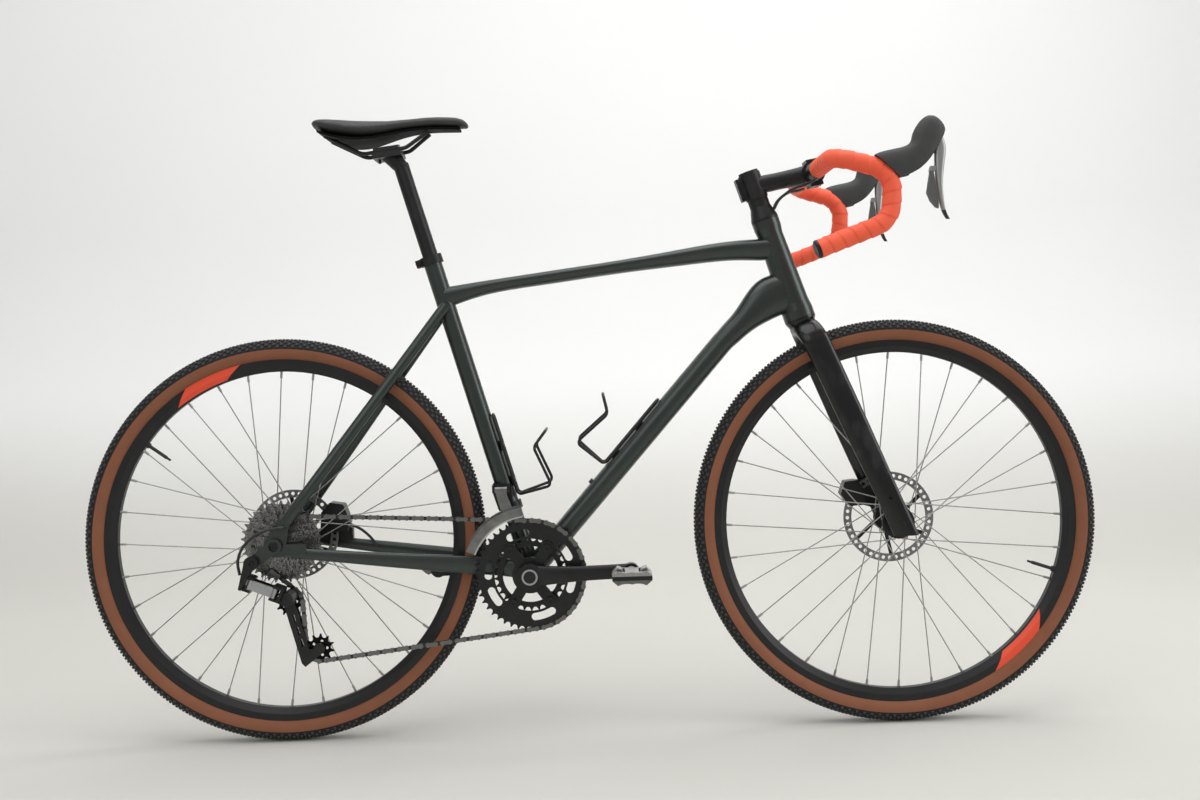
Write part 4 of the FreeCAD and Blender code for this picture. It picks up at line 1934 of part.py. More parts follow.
def seat_clamp():
    """Collar round the top of the seat tube, split at the back."""
    low = SEAT_TOP - SEAT_UP * (SEAT_COLLAR_HEIGHT - 4)
    high = SEAT_TOP + SEAT_UP * 4
    ring = cylinder(low, high, SEAT_COLLAR_DIAMETER / 2)
    middle = (low + high) * 0.5
    ear = box_along(middle, SEAT_FORWARD, SEAT_UP, (-SEAT_COLLAR_DIAMETER / 2 - 8, 0), (-6.5, 6.5), 9)
    bores = [cylinder(low, SEAT_TOP + SEAT_UP * SEAT_GAP, SEAT_TUBE_DIAMETER / 2 + SEAT_GAP),
             cylinder(low, high, SEATPOST_DIAMETER / 2 + SOFT_GAP)]
    slot = box_along(middle, SEAT_FORWARD, SEAT_UP, (-SEAT_COLLAR_DIAMETER, -10), (-20, 20), 0.8)
    seat = middle - SEAT_FORWARD * (SEAT_COLLAR_DIAMETER / 2 + 3.5) - LEFT * (9 + SEAT_GAP)
    hole = cylinder(seat - LEFT, seat + LEFT * 20, BOLT_SHANK / 2 + RUNNING_FIT)
    return [fused([ring, ear]).cut(bores + [slot, hole]), bolt(seat, LEFT * -1, 17)]


# Brake calipers, cages, bolts and cables

def caliper(axle, plane, outline, foot, carrier):
    """Caliper body round the rotor, its two pads, and its mounting foot."""
    half = CALIPER_WIDTH / 2
    pad = PAD_THICKNESS
    face = ROTOR_THICKNESS / 2 + PAD_GAP
    corners = [(axle.x + dx, axle.z + dz) for dx, dz in outline]
    body = plate(corners, plane - half, plane + half)
    corners = [edge for edge in body.Edges if abs(edge.tangentAt(edge.FirstParameter).y) > 0.9]
    body = body.makeFillet(CALIPER_CORNER, corners)
    slot = cross_cylinder(axle, plane - face - pad, plane + face + pad, ROTOR_DIAMETER / 2 + 3)
    base_corners = [(axle.x + dx, axle.z + dz) for dx, dz in foot[0]]
    base = plate(base_corners, foot[1], foot[2])
    solid = fused([body, base]).cut([slot] + carrier)
    inside = body.common(cross_cylinder(axle, plane - face - pad, plane + face + pad, ROTOR_DIAMETER / 2))
    inside = inside.cut(cross_cylinder(axle, 0, 200, ROTOR_DIAMETER / 2 - ROTOR_TRACK - 3))
    pads = [inside.common(Part.makeBox(400, pad - SEAT_GAP, 400, V(axle.x - 200, y, axle.z - 200)))
            for y in (plane + face, plane - face - pad + SEAT_GAP)]
    return [solid] + pads


def shift_housing():
    """Shift housing from its stop on the dropout round to the derailleur."""
    stop = DROPOUT_INNER + DROPOUT_THICKNESS
    route = ((18, 31, 4.0), (-8, 30, 6.0), (-33, 20, 9.0), (-53, 0, 10.6), (-61, -23, 10.6), (-57, -45, 10.6))
    points = [from_rear_axle((dx, dz), -stop - y) for dx, dz, y in route]
    ferrule = cylinder(points[0], points[0] + unit(points[1] - points[0]) * 11, HOSE_DIAMETER / 2 + 1.4)
    return rod(cord_path(points), HOSE_DIAMETER / 2).fuse(ferrule)


def rear_hose():
    """Brake hose from the left chainstay up to the rear caliper."""
    route = ((150, -28, 53), (138, -10, 55), (120, 6, 56), (100, 15, 56))
    points = [from_rear_axle((dx, dz), y) for dx, dz, y in route]
    return rod(cord_path(points), HOSE_DIAMETER / 2)


def build_fittings():
    stays = both_sides(chainstay())
    plates = both_sides(dropout())
    half = fork_half()
    left_leg = [mirrored(half)]
    rear = caliper(REAR_AXLE, REAR_ROTOR_PLANE, REAR_CALIPER_OUTLINE, REAR_CALIPER_FOOT, stays + plates)
    front = caliper(FRONT_AXLE, FRONT_ROTOR_PLANE, FRONT_CALIPER_OUTLINE, FRONT_CALIPER_FOOT, left_leg)
    save("rear_brake_caliper", *rear)
    save("front_brake_caliper", *front)
    places = boss_places()
    save("bottle_cages", bottle_cage(*places[0]), bottle_cage(*places[2]))
    save("frame_bolts", *boss_bolts())
    save("seat_clamp", *seat_clamp())
    housing = shift_housing().cut(plates + both_sides(seatstay()) + derailleur_knuckle()[:1])
    save("rear_cables", housing, rear_hose().cut(stays + rear[:1]))


os.makedirs("parts", exist_ok=True)
build_frame()
build_fork()
build_wheels()
course, gap_angles = chain_course()
build_chain(course)
build_cassette(gap_angles[1])
build_cranks()
build_chainrings(gap_angles[0])
build_pedals()
build_rear_derailleur(gap_angles)
build_front_derailleur()
build_cockpit()
build_saddle()
build_fittings()
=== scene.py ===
# %% [markdown]
# # A gravel bike, dressed for its picture
# The bike's frame, wheels, drivetrain and joints come packed as solids at their real size.
# This lesson gives them their looks: paint, carbon, rubber, tape, leather and steel, and it
# remakes the pieces that a plain solid can't show, such as knobbly tyres and wound bar tape.
# The solids are never moved. Every length is in metres.

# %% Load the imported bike
import json
from math import acos, cos, pi, radians, sin, tan

import bmesh
import bpy
from mathutils import Matrix, Vector


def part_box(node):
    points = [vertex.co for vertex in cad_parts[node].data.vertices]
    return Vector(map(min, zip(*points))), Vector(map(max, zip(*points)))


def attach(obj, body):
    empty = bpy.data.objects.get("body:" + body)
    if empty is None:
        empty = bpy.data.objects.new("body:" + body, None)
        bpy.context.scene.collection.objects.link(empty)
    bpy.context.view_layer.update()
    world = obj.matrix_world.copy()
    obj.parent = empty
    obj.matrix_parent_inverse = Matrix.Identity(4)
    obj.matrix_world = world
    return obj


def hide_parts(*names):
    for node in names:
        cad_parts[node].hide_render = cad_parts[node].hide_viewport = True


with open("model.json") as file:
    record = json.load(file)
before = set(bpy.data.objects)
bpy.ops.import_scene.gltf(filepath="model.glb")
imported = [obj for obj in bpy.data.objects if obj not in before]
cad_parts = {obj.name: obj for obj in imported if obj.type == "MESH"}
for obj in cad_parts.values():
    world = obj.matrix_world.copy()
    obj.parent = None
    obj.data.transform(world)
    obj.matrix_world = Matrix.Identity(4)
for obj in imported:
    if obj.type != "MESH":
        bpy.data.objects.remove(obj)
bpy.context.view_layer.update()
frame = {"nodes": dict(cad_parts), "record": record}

nodes = frame["nodes"]
record = frame["record"]

# %% [markdown]
# ## A small way to write shaders
# A material is a graph of nodes. Written link by link it is long, so one class wraps an output
# socket. Sums of wrapped sockets add Math nodes, and one method adds any other node.

# %% Socket sums


class Value:
    """An output socket of a node tree that can be used in sums."""

    def __init__(self, tree, socket):
        self.tree = tree
        self.socket = socket

    def node(self, kind, settings=None, sockets=None, output=0):
        """Add a node: its settings first, then the values or links of its sockets."""
        made = self.tree.nodes.new(kind)
        for name, setting in (settings or {}).items():
            setattr(made, name, setting)
        for name, value in (sockets or {}).items():
            if isinstance(value, Value):
                self.tree.links.new(value.socket, made.inputs[name])
            else:
                made.inputs[name].default_value = value
        return Value(self.tree, made.outputs[output])

    def maths(self, operation, *others):
        """Add a Math node whose first value is this one."""
        return self.node("ShaderNodeMath", {"operation": operation}, dict(enumerate((self, *others))))

    def __add__(self, other):
        return self.maths("ADD", other)

    def __radd__(self, other):
        return self.maths("ADD", other)

    def __sub__(self, other):
        return self.maths("SUBTRACT", other)

    def __rsub__(self, other):
        return self.node("ShaderNodeMath", {"operation": "SUBTRACT"}, {0: other, 1: self})

    def __mul__(self, other):
        return self.maths("MULTIPLY", other)

    def __rmul__(self, other):
        return self.maths("MULTIPLY", other)

    def __truediv__(self, other):
        return self.maths("DIVIDE", other)

    def __pow__(self, other):
        return self.maths("POWER", other)


print("sockets can be summed")

# %% [markdown]
# ## Finishes from a few helpers
# A finish starts as a plain shader with its even numbers set. Noise and cells, read at the
# object's own coordinates, then vary its colour, gloss and relief. Pictures would have to be
# unwrapped onto each piece and these patterns don't, so helpers that make them are simpler.

# %% Finish helpers


def socket_name(word):
    return word.replace("_", " ").title().replace("Ior", "IOR")


def new_finish(name, colour, roughness, metallic=0.0, **numbers):
    """A material with its even numbers set, and the object coordinates to vary it with."""
    material = bpy.data.materials.new(name)
    material.use_nodes = True
    tree = material.node_tree
    shader = tree.nodes["Principled BSDF"]
    shader.inputs["Base Color"].default_value = (*colour, 1.0)
    shader.inputs["Roughness"].default_value = roughness
    shader.inputs["Metallic"].default_value = metallic
    for socket, number in numbers.items():
        shader.inputs[socket_name(socket)].default_value = number
    place = Value(tree, tree.nodes.new("ShaderNodeTexCoord").outputs["Object"])
    return material, shader, place


def feed(shader, **links):
    """Link wrapped sockets to the shader's inputs of those names."""
    for socket, value in links.items():
        value.tree.links.new(value.socket, shader.inputs[socket_name(socket)])


def noise(place, scale, detail=2.0, rough=0.5):
    return place.node("ShaderNodeTexNoise", None, {
        "Vector": place, "Scale": scale, "Detail": detail, "Roughness": rough})


def cells(place, scale, output="Distance", feature="F1"):
    return place.node("ShaderNodeTexVoronoi", {"feature": feature},
                      {"Vector": place, "Scale": scale}, output)


def stretched(place, x, y, z):
    """Coordinates scaled along each axis, so that a pattern is drawn out."""
    return place.node("ShaderNodeMapping", None, {"Vector": place, "Scale": (x, y, z)})


def centred(place, x, z):
    """Coordinates about an axle that runs across the bike."""
    return place.node("ShaderNodeMapping", None, {"Vector": place, "Location": (-x, 0.0, -z)})


def axis(place, name):
    return place.node("ShaderNodeSeparateXYZ", None, {"Vector": place}, name)


def step(value, low, high):
    """0 below low, 1 above high, smooth between."""
    return value.node("ShaderNodeMapRange", {"interpolation_type": "SMOOTHSTEP"},
                      {"Value": value, "From Min": low, "From Max": high})


def between(value, low, high):
    return value.node("ShaderNodeMapRange", None, {"Value": value, "To Min": low, "To Max": high})


def mixed(mask, first, second):
    """A colour that goes from first to second with the mask."""
    ends = [shade if isinstance(shade, Value) else (*shade, 1.0) for shade in (first, second)]
    return mask.node("ShaderNodeMix", {"data_type": "RGBA"}, {0: mask, 6: ends[0], 7: ends[1]}, 2)


def bump(height, strength, distance):
    return height.node("ShaderNodeBump", None, {
        "Height": height, "Strength": strength, "Distance": distance}, "Normal")


print("shader helpers ready")

# %% [markdown]
# ## Paint and carbon
# The frame has a dark grey-green metallic paint under a satin clear coat. Metal flake is far too
# fine to model, so small cells shift its colour and a fine grain tilts the surface a little. The
# fork's carbon is laid up in patches, which show as dark mottling under a glossy coat.

# %% Paint and carbon


def frame_paint():
    """Dark grey-green flake under a thin satin coat."""
    material, shader, place = new_finish("frame_paint", (0.046, 0.053, 0.050), 0.32, 0.85,
                                         coat_weight=0.25, coat_roughness=0.2)
    flake = cells(place, 2600.0, "Color")
    drift = noise(place, 9.0, 3.0)
    grain = noise(place, 1400.0, 1.0)
    tint = mixed(drift, (0.038, 0.045, 0.042), (0.056, 0.066, 0.062))
    sparkle = step(axis(flake, "X"), 0.55, 1.0)
    feed(shader, base_color=mixed(sparkle * 0.3, tint, (0.12, 0.14, 0.135)))
    feed(shader, roughness=between(drift, 0.26, 0.38))
    feed(shader, normal=bump(grain, 0.05, 0.0004))
    return material


def fork_carbon():
    """Black carbon laid up in patches, under gloss lacquer."""
    material, shader, place = new_finish("fork_carbon", (0.006, 0.006, 0.007), 0.34,
                                         coat_weight=0.45, coat_roughness=0.08, specular_ior_level=0.25)
    patches = cells(stretched(place, 60.0, 60.0, 34.0), 1.0, "Color", "SMOOTH_F1")
    strands = noise(stretched(place, 700.0, 700.0, 60.0), 1.0, 2.0)
    shade = axis(patches, "X") * 0.7 + strands * 0.3
    feed(shader, base_color=mixed(step(shade, 0.4, 0.9), (0.003, 0.003, 0.0035), (0.020, 0.020, 0.022)))
    feed(shader, roughness=between(shade, 0.26, 0.44))
    feed(shader, normal=bump(strands, 0.03, 0.0003))
    return material


print("frame and fork finishes defined")

# %% [markdown]
# ## Black and silver alloy
# Anodised parts are black with a soft sheen, and wear rubs them paler in broad patches. White
# surroundings would turn black to grey in the gloss, so its reflection is kept low. The spindle's
# bright ring lies at a known radius, so a mask about the axle draws it.

# %% Alloy finishes
EDGE_BLUR = 0.0004


def polar(place, axle):
    """Radius and angle of each point about an axle across the bike."""
    local = centred(place, axle.x, axle.z)
    x = axis(local, "X")
    z = axis(local, "Z")
    return (x * x + z * z) ** 0.5, z.maths("ARCTAN2", x)


def black_alloy():
    """Anodised black, rubbed a little paler in places."""
    material, shader, place = new_finish("black_alloy", (0.008, 0.008, 0.009), 0.40, specular_ior_level=0.4)
    grain = noise(place, 900.0, 2.0)
    wear = noise(place, 24.0, 4.0)
    feed(shader, base_color=mixed(step(wear, 0.45, 0.8), (0.006, 0.006, 0.0065), (0.015, 0.015, 0.016)))
    feed(shader, roughness=between(wear, 0.32, 0.46))
    feed(shader, normal=bump(grain, 0.06, 0.0003))
    return material


def crank_black(axle, ring):
    """The cranks' black, with a bright ring turned round the end of the spindle."""
    material, shader, place = new_finish("crank_black", (0.007, 0.007, 0.008), 0.36, specular_ior_level=0.4)
    radius, _ = polar(place, axle)
    low, high = ring
    inside = step(radius, high + EDGE_BLUR, high - EDGE_BLUR)
    bright = step(radius, low - EDGE_BLUR, low + EDGE_BLUR) * inside
    wear = noise(place, 24.0, 4.0)
    black = mixed(step(wear, 0.45, 0.8), (0.005, 0.005, 0.0055), (0.013, 0.013, 0.014))
    feed(shader, base_color=mixed(bright, black, (0.42, 0.43, 0.43)))
    feed(shader, metallic=bright * 1.0)
    feed(shader, roughness=between(wear, 0.28, 0.42))
    feed(shader, normal=bump(noise(place, 900.0, 2.0), 0.05, 0.0003))
    return material


def silver_alloy():
    material, shader, place = new_finish("silver_alloy", (0.42, 0.43, 0.44), 0.32, 0.95)
    lines = noise(stretched(place, 90.0, 1500.0, 90.0), 1.0, 3.0)
    feed(shader, base_color=mixed(lines, (0.32, 0.33, 0.34), (0.50, 0.51, 0.52)))
    feed(shader, roughness=between(lines, 0.24, 0.42))
    feed(shader, normal=bump(lines, 0.08, 0.0002))
    return material


print("alloy finishes defined")

# %% [markdown]
# ## Steel and levers
# Chain, cogs, pedals and spokes are bare steel that oil and dust have dulled. Modelling the dirt
# would be endless, so noise mixes a dark and a pale steel. Masks by height, side or radius then
# paint light and shade: the chain's outer plates and the guide's lower edge get a painted highlight,
# and the chain's inner plates and the pedals' lower bars a painted shade.

# %% Steel finishes


def worked_steel(name, dark, pale):
    """Steel that oil and dust have dulled, from dark to pale."""
    material, shader, place = new_finish(name, pale, 0.38, 1.0)
    grime = noise(place, 420.0, 4.0)
    lines = noise(place, 1800.0, 1.0)
    feed(shader, base_color=mixed(step(grime, 0.3, 0.7), dark, pale))
    feed(shader, roughness=between(grime, 0.30, 0.46))
    feed(shader, normal=bump(lines, 0.05, 0.0002))
    return material


def chain_steel(middle, inner_half):
    """Outer plates get a painted highlight, and the inner plates between them a painted shade."""
    material, shader, place = new_finish("chain_steel", (0.2, 0.2, 0.2), 0.36, 1.0)
    sideways = axis(place, "Y") - middle
    out = sideways.maths("ABSOLUTE")
    # Outer plates, farther from the chain's middle plane, are painted pale as a highlight; inner plates get
    # a dark painted shade.
    lit_outer_plates = step(out, inner_half, inner_half + EDGE_BLUR)
    grime = noise(place, 420.0, 3.0)
    # Noise varies the highlighted plates' steel as dust.
    painted_highlight = mixed(grime, (0.13, 0.13, 0.128), (0.23, 0.23, 0.226))
    feed(shader, base_color=mixed(lit_outer_plates, (0.055, 0.055, 0.054), painted_highlight))
    feed(shader, roughness=between(grime, 0.28, 0.44))
    feed(shader, normal=bump(grime, 0.03, 0.0002))
    return material


def guide_steel(axle, edge):
    """The chain guide: grey plates with a painted highlight along their lower edge."""
    material, shader, place = new_finish("guide_steel", (0.2, 0.2, 0.2), 0.34, 1.0)
    radius, _ = polar(place, axle)
    # A band along the lower edge, nearest the crank axle, is painted pale as a highlight.
    painted_highlight = step(radius, edge + EDGE_BLUR, edge - EDGE_BLUR)
    grime = noise(place, 60.0, 2.0)
    dark = mixed(grime, (0.10, 0.10, 0.10), (0.34, 0.34, 0.335))
    feed(shader, base_color=mixed(painted_highlight, dark, (0.55, 0.55, 0.54)))
    feed(shader, roughness=between(grime, 0.26, 0.42))
    feed(shader, normal=bump(grime, 0.04, 0.0002))
    return material


def pedal_steel(name, height, core):
    """Bright clip bars above and below the dark body of a pedal, the lower bar painted darker as shade."""
    material, shader, place = new_finish(name, (0.4, 0.4, 0.39), 0.30, 1.0)
    low, high = core
    level = axis(place, "Z") - height
    upper = step(level, high - EDGE_BLUR, high + EDGE_BLUR)
    lower = step(level, low + EDGE_BLUR, low - EDGE_BLUR)
    grime = noise(place, 300.0, 4.0)
    bright = mixed(grime, (0.24, 0.24, 0.235), (0.50, 0.50, 0.49))
    # The lower bar is the same silver painted a darker grey, a painted shade on the underside.
    bars_shaded_below = mixed(upper, mixed(grime, (0.10, 0.10, 0.098), (0.26, 0.26, 0.255)), bright)
    feed(shader, base_color=mixed(upper + lower, (0.012, 0.012, 0.012), bars_shaded_below))
    feed(shader, metallic=0.3 + 0.7 * (upper + lower))
    feed(shader, roughness=between(grime, 0.24, 0.44))
    feed(shader, normal=bump(grime, 0.10, 0.0004))
    return material


def lever_alloy(tip_height):
    """Satin grey lever blade whose hooked tip is black."""
    material, shader, place = new_finish("lever_alloy", (0.34, 0.35, 0.34), 0.36, 0.8)
    lines = noise(stretched(place, 900.0, 900.0, 60.0), 1.0, 2.0)
    tip = step(axis(place, "Z"), tip_height + EDGE_BLUR, tip_height - EDGE_BLUR)
    grey = mixed(lines, (0.31, 0.32, 0.31), (0.40, 0.41, 0.40))
    feed(shader, base_color=mixed(tip, grey, (0.02, 0.02, 0.02)))
    feed(shader, metallic=0.8 - 0.6 * tip)
    feed(shader, roughness=between(lines, 0.30, 0.44))
    feed(shader, normal=bump(lines, 0.05, 0.0002))
    return material


print("steel and lever finishes defined")

# %% [markdown]
# ## Plastic and rubber
# Moulded plastic and rubber scatter light, so they are rough and hardly mirror the studio. Fine
# relief tells them apart, and the hoods' moulded dots are cells in the bump, because dots in the
# mesh would be smaller than a pixel.

# %% Plastic and rubber finishes


def black_plastic():
    plain = (0.006, 0.006, 0.0065)
    material, shader, place = new_finish("black_plastic", plain, 0.6, specular_ior_level=0.06)
    grain = noise(place, 1100.0, 2.0)
    drift = noise(place, 30.0, 3.0)
    feed(shader, base_color=mixed(drift, (0.004, 0.004, 0.0045), (0.009, 0.009, 0.0095)))
    feed(shader, roughness=between(drift, 0.54, 0.70))
    feed(shader, normal=bump(grain, 0.12, 0.0003))
    return material


def paddle_grey():
    """Moulded grey of the shift paddles."""
    material, shader, place = new_finish("paddle_grey", (0.10, 0.105, 0.10), 0.42)
    drift = noise(place, 60.0, 3.0)
    feed(shader, base_color=mixed(drift, (0.085, 0.09, 0.088), (0.125, 0.13, 0.127)))
    feed(shader, roughness=between(drift, 0.36, 0.50))
    feed(shader, normal=bump(noise(place, 1100.0, 2.0), 0.10, 0.0003))
    return material


def hose_plastic():
    material, shader, place = new_finish("hose_plastic", (0.012, 0.012, 0.013), 0.36)
    drift = noise(place, 60.0, 2.0)
    feed(shader, base_color=mixed(drift, (0.009, 0.009, 0.010), (0.020, 0.020, 0.021)))
    feed(shader, roughness=between(drift, 0.30, 0.44))
    feed(shader, normal=bump(noise(place, 1500.0, 1.0), 0.05, 0.0002))
    return material


def hood_rubber():
    material, shader, place = new_finish("hood_rubber", (0.04, 0.042, 0.041), 0.62)
    dots = cells(place, 520.0)
    drift = noise(place, 40.0, 3.0)
    feed(shader, base_color=mixed(drift, (0.030, 0.032, 0.031), (0.054, 0.056, 0.054)))
    feed(shader, roughness=between(dots, 0.52, 0.74))
    feed(shader, normal=bump(dots, 0.28, 0.0006))
    return material


def tube_rubber():
    material, shader, place = new_finish("tube_rubber", (0.016, 0.016, 0.016), 0.6)
    drift = noise(place, 80.0, 3.0)
    feed(shader, base_color=mixed(drift, (0.011, 0.011, 0.011), (0.026, 0.026, 0.026)))
    feed(shader, roughness=between(drift, 0.5, 0.7))
    return material


print("plastic and rubber finishes defined")

# %% [markdown]
# ## Tape and leather
# Bar tape is a spongy foam with pores, and the saddle's cover is creased like leather. Both are
# cell patterns: the middle of each cell is a pore, and the edges between cells are creases.

# %% Tape and leather finishes


def grip_tape():
    """Coral tape with a spongy face and painted shade in its pores."""
    material, shader, place = new_finish("grip_tape", (0.94, 0.115, 0.045), 0.60)
    pores = cells(place, 760.0)
    drift = noise(place, 26.0, 3.0)
    coral_face = mixed(drift, (0.90, 0.095, 0.038), (0.98, 0.140, 0.060))
    # The pore middles are painted a darker coral, a painted shade in the recesses.
    feed(shader, base_color=mixed(step(pores, 0.34, 0.0) * 0.35, coral_face, (0.62, 0.055, 0.022)))
    feed(shader, roughness=between(pores, 0.70, 0.52))
    feed(shader, normal=bump(pores, 0.22, 0.0005))
    return material


def saddle_leather():
    material, shader, place = new_finish("saddle_leather", (0.022, 0.023, 0.023), 0.52)
    creases = cells(place, 640.0, "Distance", "DISTANCE_TO_EDGE")
    drift = noise(place, 22.0, 3.0)
    feed(shader, base_color=mixed(drift, (0.018, 0.019, 0.019), (0.034, 0.035, 0.035)))
    feed(shader, roughness=between(drift, 0.44, 0.60))
    feed(shader, normal=bump(step(creases, 0.0, 0.25), 0.20, 0.0004))
    return material


print("tape and leather finishes defined")

# %% [markdown]
# ## Finishes that follow a wheel
# A tyre's rubber tread, tan sidewall and the rim's orange patch are rings and arcs about the
# axle. The shader works out each point's radius and angle about that axle, and masks follow.

# %% Wheel finishes
TYRE_RADIUS = 0.350
KNOB_HEIGHT = 0.0022
CASING_RADIUS = TYRE_RADIUS - KNOB_HEIGHT
CASING_HALF_WIDTH = 0.0198
WIDEST_RADIUS = 0.331
CROWN_RISE = CASING_RADIUS - WIDEST_RADIUS
KNOB_SHARES = (1.02, 1.09)
THREADS_ROUND = 900.0
THREADS_UP = 2600.0
TREAD_EDGE = 0.3325
TREAD_WANDER = 0.0006
BEAD_FADE = (0.3131, 0.3123)
RIM_INNER = 0.293
RIM_EDGE = 0.317
PATCH_SLANT = radians(7.4)
PATCH_HALF = radians(9.5)
PATCH_BLUR = 0.001
PATCH_FOOT = (RIM_INNER + 0.0025, RIM_INNER + 0.003)
ROTOR_TRACK = 0.066
GROUND_LINES = 3000.0
LINE_DRIFT = 3.0


def tyre_rubber(name, axle):
    """Dark tread above a tan sidewall of slanted casing threads."""
    material, shader, place = new_finish(name, (0.03, 0.03, 0.03), 0.72)
    radius, angle = polar(place, axle)
    drift = noise(place, 30.0, 4.0)
    thread = (angle * THREADS_ROUND + radius * THREADS_UP).maths("SINE")
    tan_wall = mixed(drift, (0.205, 0.070, 0.031), (0.285, 0.104, 0.048))
    woven = mixed(step(thread, 0.2, 1.0) * 0.25, tan_wall, (0.110, 0.040, 0.018))
    # The casing between the knobs is painted darker than the knobs, a painted shade in the gaps.
    gap_shade = mixed(drift, (0.005, 0.0052, 0.0051), (0.010, 0.0104, 0.0102))
    dusty = mixed(drift, (0.024, 0.025, 0.0245), (0.050, 0.053, 0.0515))
    rise = (radius - WIDEST_RADIUS) / CROWN_RISE
    side = axis(place, "Y") / CASING_HALF_WIDTH
    black = mixed(step((rise * rise + side * side) ** 0.5, *KNOB_SHARES), gap_shade, dusty)
    tread = step(radius + (drift - 0.5) * TREAD_WANDER, TREAD_EDGE - EDGE_BLUR, TREAD_EDGE + EDGE_BLUR)
    bead = step(radius, *BEAD_FADE)
    feed(shader, base_color=mixed(tread.maths("MAXIMUM", bead), woven, black))
    feed(shader, roughness=between(drift, 0.62, 0.80))
    feed(shader, normal=bump(thread * 0.3 + noise(place, 700.0, 2.0), 0.10, 0.0004))
    return material


def rim_black(name, axle, patch_angle):
    """Satin black rim with one slanted orange patch on each side."""
    material, shader, place = new_finish(name, (0.007, 0.007, 0.0075), 0.38, specular_ior_level=0.4)
    radius, angle = polar(place, axle)
    share = (radius - RIM_INNER) / (RIM_EDGE - RIM_INNER)
    off = angle - patch_angle + share * PATCH_SLANT
    beside = off.maths("ABSOLUTE")
    patch = step(beside, PATCH_HALF + PATCH_BLUR, PATCH_HALF - PATCH_BLUR) * step(radius, *PATCH_FOOT)
    drift = noise(place, 26.0, 3.0)
    black = mixed(drift, (0.005, 0.005, 0.0055), (0.011, 0.011, 0.012))
    feed(shader, base_color=mixed(patch, black, (0.86, 0.085, 0.035)))
    feed(shader, roughness=between(drift, 0.32, 0.46))
    feed(shader, normal=bump(noise(place, 900.0, 1.0), 0.04, 0.0003))
    return material


def rotor_steel(name, axle):
    """Brake track of steel ground in rings, on a black carrier."""
    material, shader, place = new_finish(name, (0.3, 0.3, 0.3), 0.30, 1.0)
    radius, angle = polar(place, axle)
    sweep = radius.node("ShaderNodeCombineXYZ", None, {"X": radius * GROUND_LINES, "Y": angle * LINE_DRIFT})
    rings = noise(sweep, 1.0, 3.0)
    track = step(radius, ROTOR_TRACK - EDGE_BLUR, ROTOR_TRACK + EDGE_BLUR)
    steel = mixed(rings, (0.16, 0.16, 0.16), (0.30, 0.30, 0.30))
    feed(shader, base_color=mixed(track, (0.008, 0.008, 0.009), steel))
    feed(shader, metallic=0.2 + 0.8 * track)
    feed(shader, roughness=between(rings, 0.24, 0.42))
    feed(shader, normal=bump(rings, 0.10, 0.0002))
    return material


def centre_of(node):
    low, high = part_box(node)
    return (low + high) / 2


AXLES = {"front": centre_of("front_tyre"), "rear": centre_of("rear_tyre")}
PATCH_ANGLES = {"front": radians(-42.0), "rear": radians(118.6)}
print("axles", {name: tuple(round(c, 4) for c in axle) for name, axle in AXLES.items()})

# %% [markdown]
# ## Give every solid its finish
# The record names a slot for each node. A slot's finish is made once and shared, and the few
# nodes whose pattern follows their own place get their own.

# %% Dress the solids
LEVER_TIP = 0.014
SPINDLE_RING = (0.0105, 0.0135)
# Width of the band along the guide's lower edge that gets the painted highlight.
GUIDE_HIGHLIGHT_BAND = 0.0035
CHAIN_INNER = 0.0021
PEDAL_CORE = (-0.004, 0.003)
crank_axle = centre_of("bottom_bracket_shell")
lever_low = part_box("brake_lever_right")[0].z
guide = nodes["front_derailleur_cage"].data.vertices
guide_low = min((corner.co.xz - crank_axle.xz).length for corner in guide)
finishes = {
    "frame_paint": frame_paint(),
    "bare_alloy": silver_alloy(),
    "black_alloy": black_alloy(),
    "carbon": fork_carbon(),
    "tube_rubber": tube_rubber(),
    "steel": worked_steel("drive_steel", (0.06, 0.06, 0.058), (0.17, 0.17, 0.168)),
    "lever_grey": lever_alloy(lever_low + LEVER_TIP),
    "black_plastic": black_plastic(),
    "hood_rubber": hood_rubber(),
    "hose_black": hose_plastic(),
    "orange_tape": grip_tape(),
    "saddle_cover": saddle_leather(),
}
slots = {row["node"]: row["material_slot"] for row in record["subparts"]}
own_finish = {
    "rear_dropouts": finishes["frame_paint"],
    "front_hub": finishes["black_alloy"],
    "rear_hub": finishes["black_alloy"],
    "right_crank": crank_black(crank_axle, SPINDLE_RING),
    "cassette": worked_steel("cassette_steel", (0.07, 0.07, 0.068), (0.34, 0.335, 0.33)),
    "chain": chain_steel(centre_of("chain").y, CHAIN_INNER),
    "front_derailleur_cage": guide_steel(crank_axle, guide_low + GUIDE_HIGHLIGHT_BAND),
}
spoke_steel = worked_steel("spoke_steel", (0.30, 0.30, 0.29), (0.42, 0.42, 0.41))
grey_paddle = paddle_grey()
for side in ("right", "left"):
    pedal = "pedal_" + side
    own_finish[pedal] = pedal_steel(pedal + "_steel", centre_of(pedal).z, PEDAL_CORE)
    own_finish["shift_paddle_" + side] = grey_paddle
for wheel, axle in AXLES.items():
    own_finish[wheel + "_tyre"] = tyre_rubber(wheel + "_tyre_rubber", axle)
    own_finish[wheel + "_rim"] = rim_black(wheel + "_rim_black", axle, PATCH_ANGLES[wheel])
    own_finish[wheel + "_rotor"] = rotor_steel(wheel + "_rotor_steel", axle)
    own_finish[wheel + "_spokes"] = spoke_steel


def dress(piece, material):
    piece.data.materials.clear()
    piece.data.materials.append(material)


for name, node in nodes.items():
    dress(node, own_finish.get(name) or finishes[slots[name]])
print("dressed", len(nodes), "solids")

# %% [markdown]
# ## Knobbly tyres
# A gravel tyre is a round casing with rows of small knobs over its crown and shoulders. The
# casing is half a section, mirrored and turned about the axle. A plain torus has a round section
# all the way, but a real casing narrows to its beads at the rim, so the section is drawn.

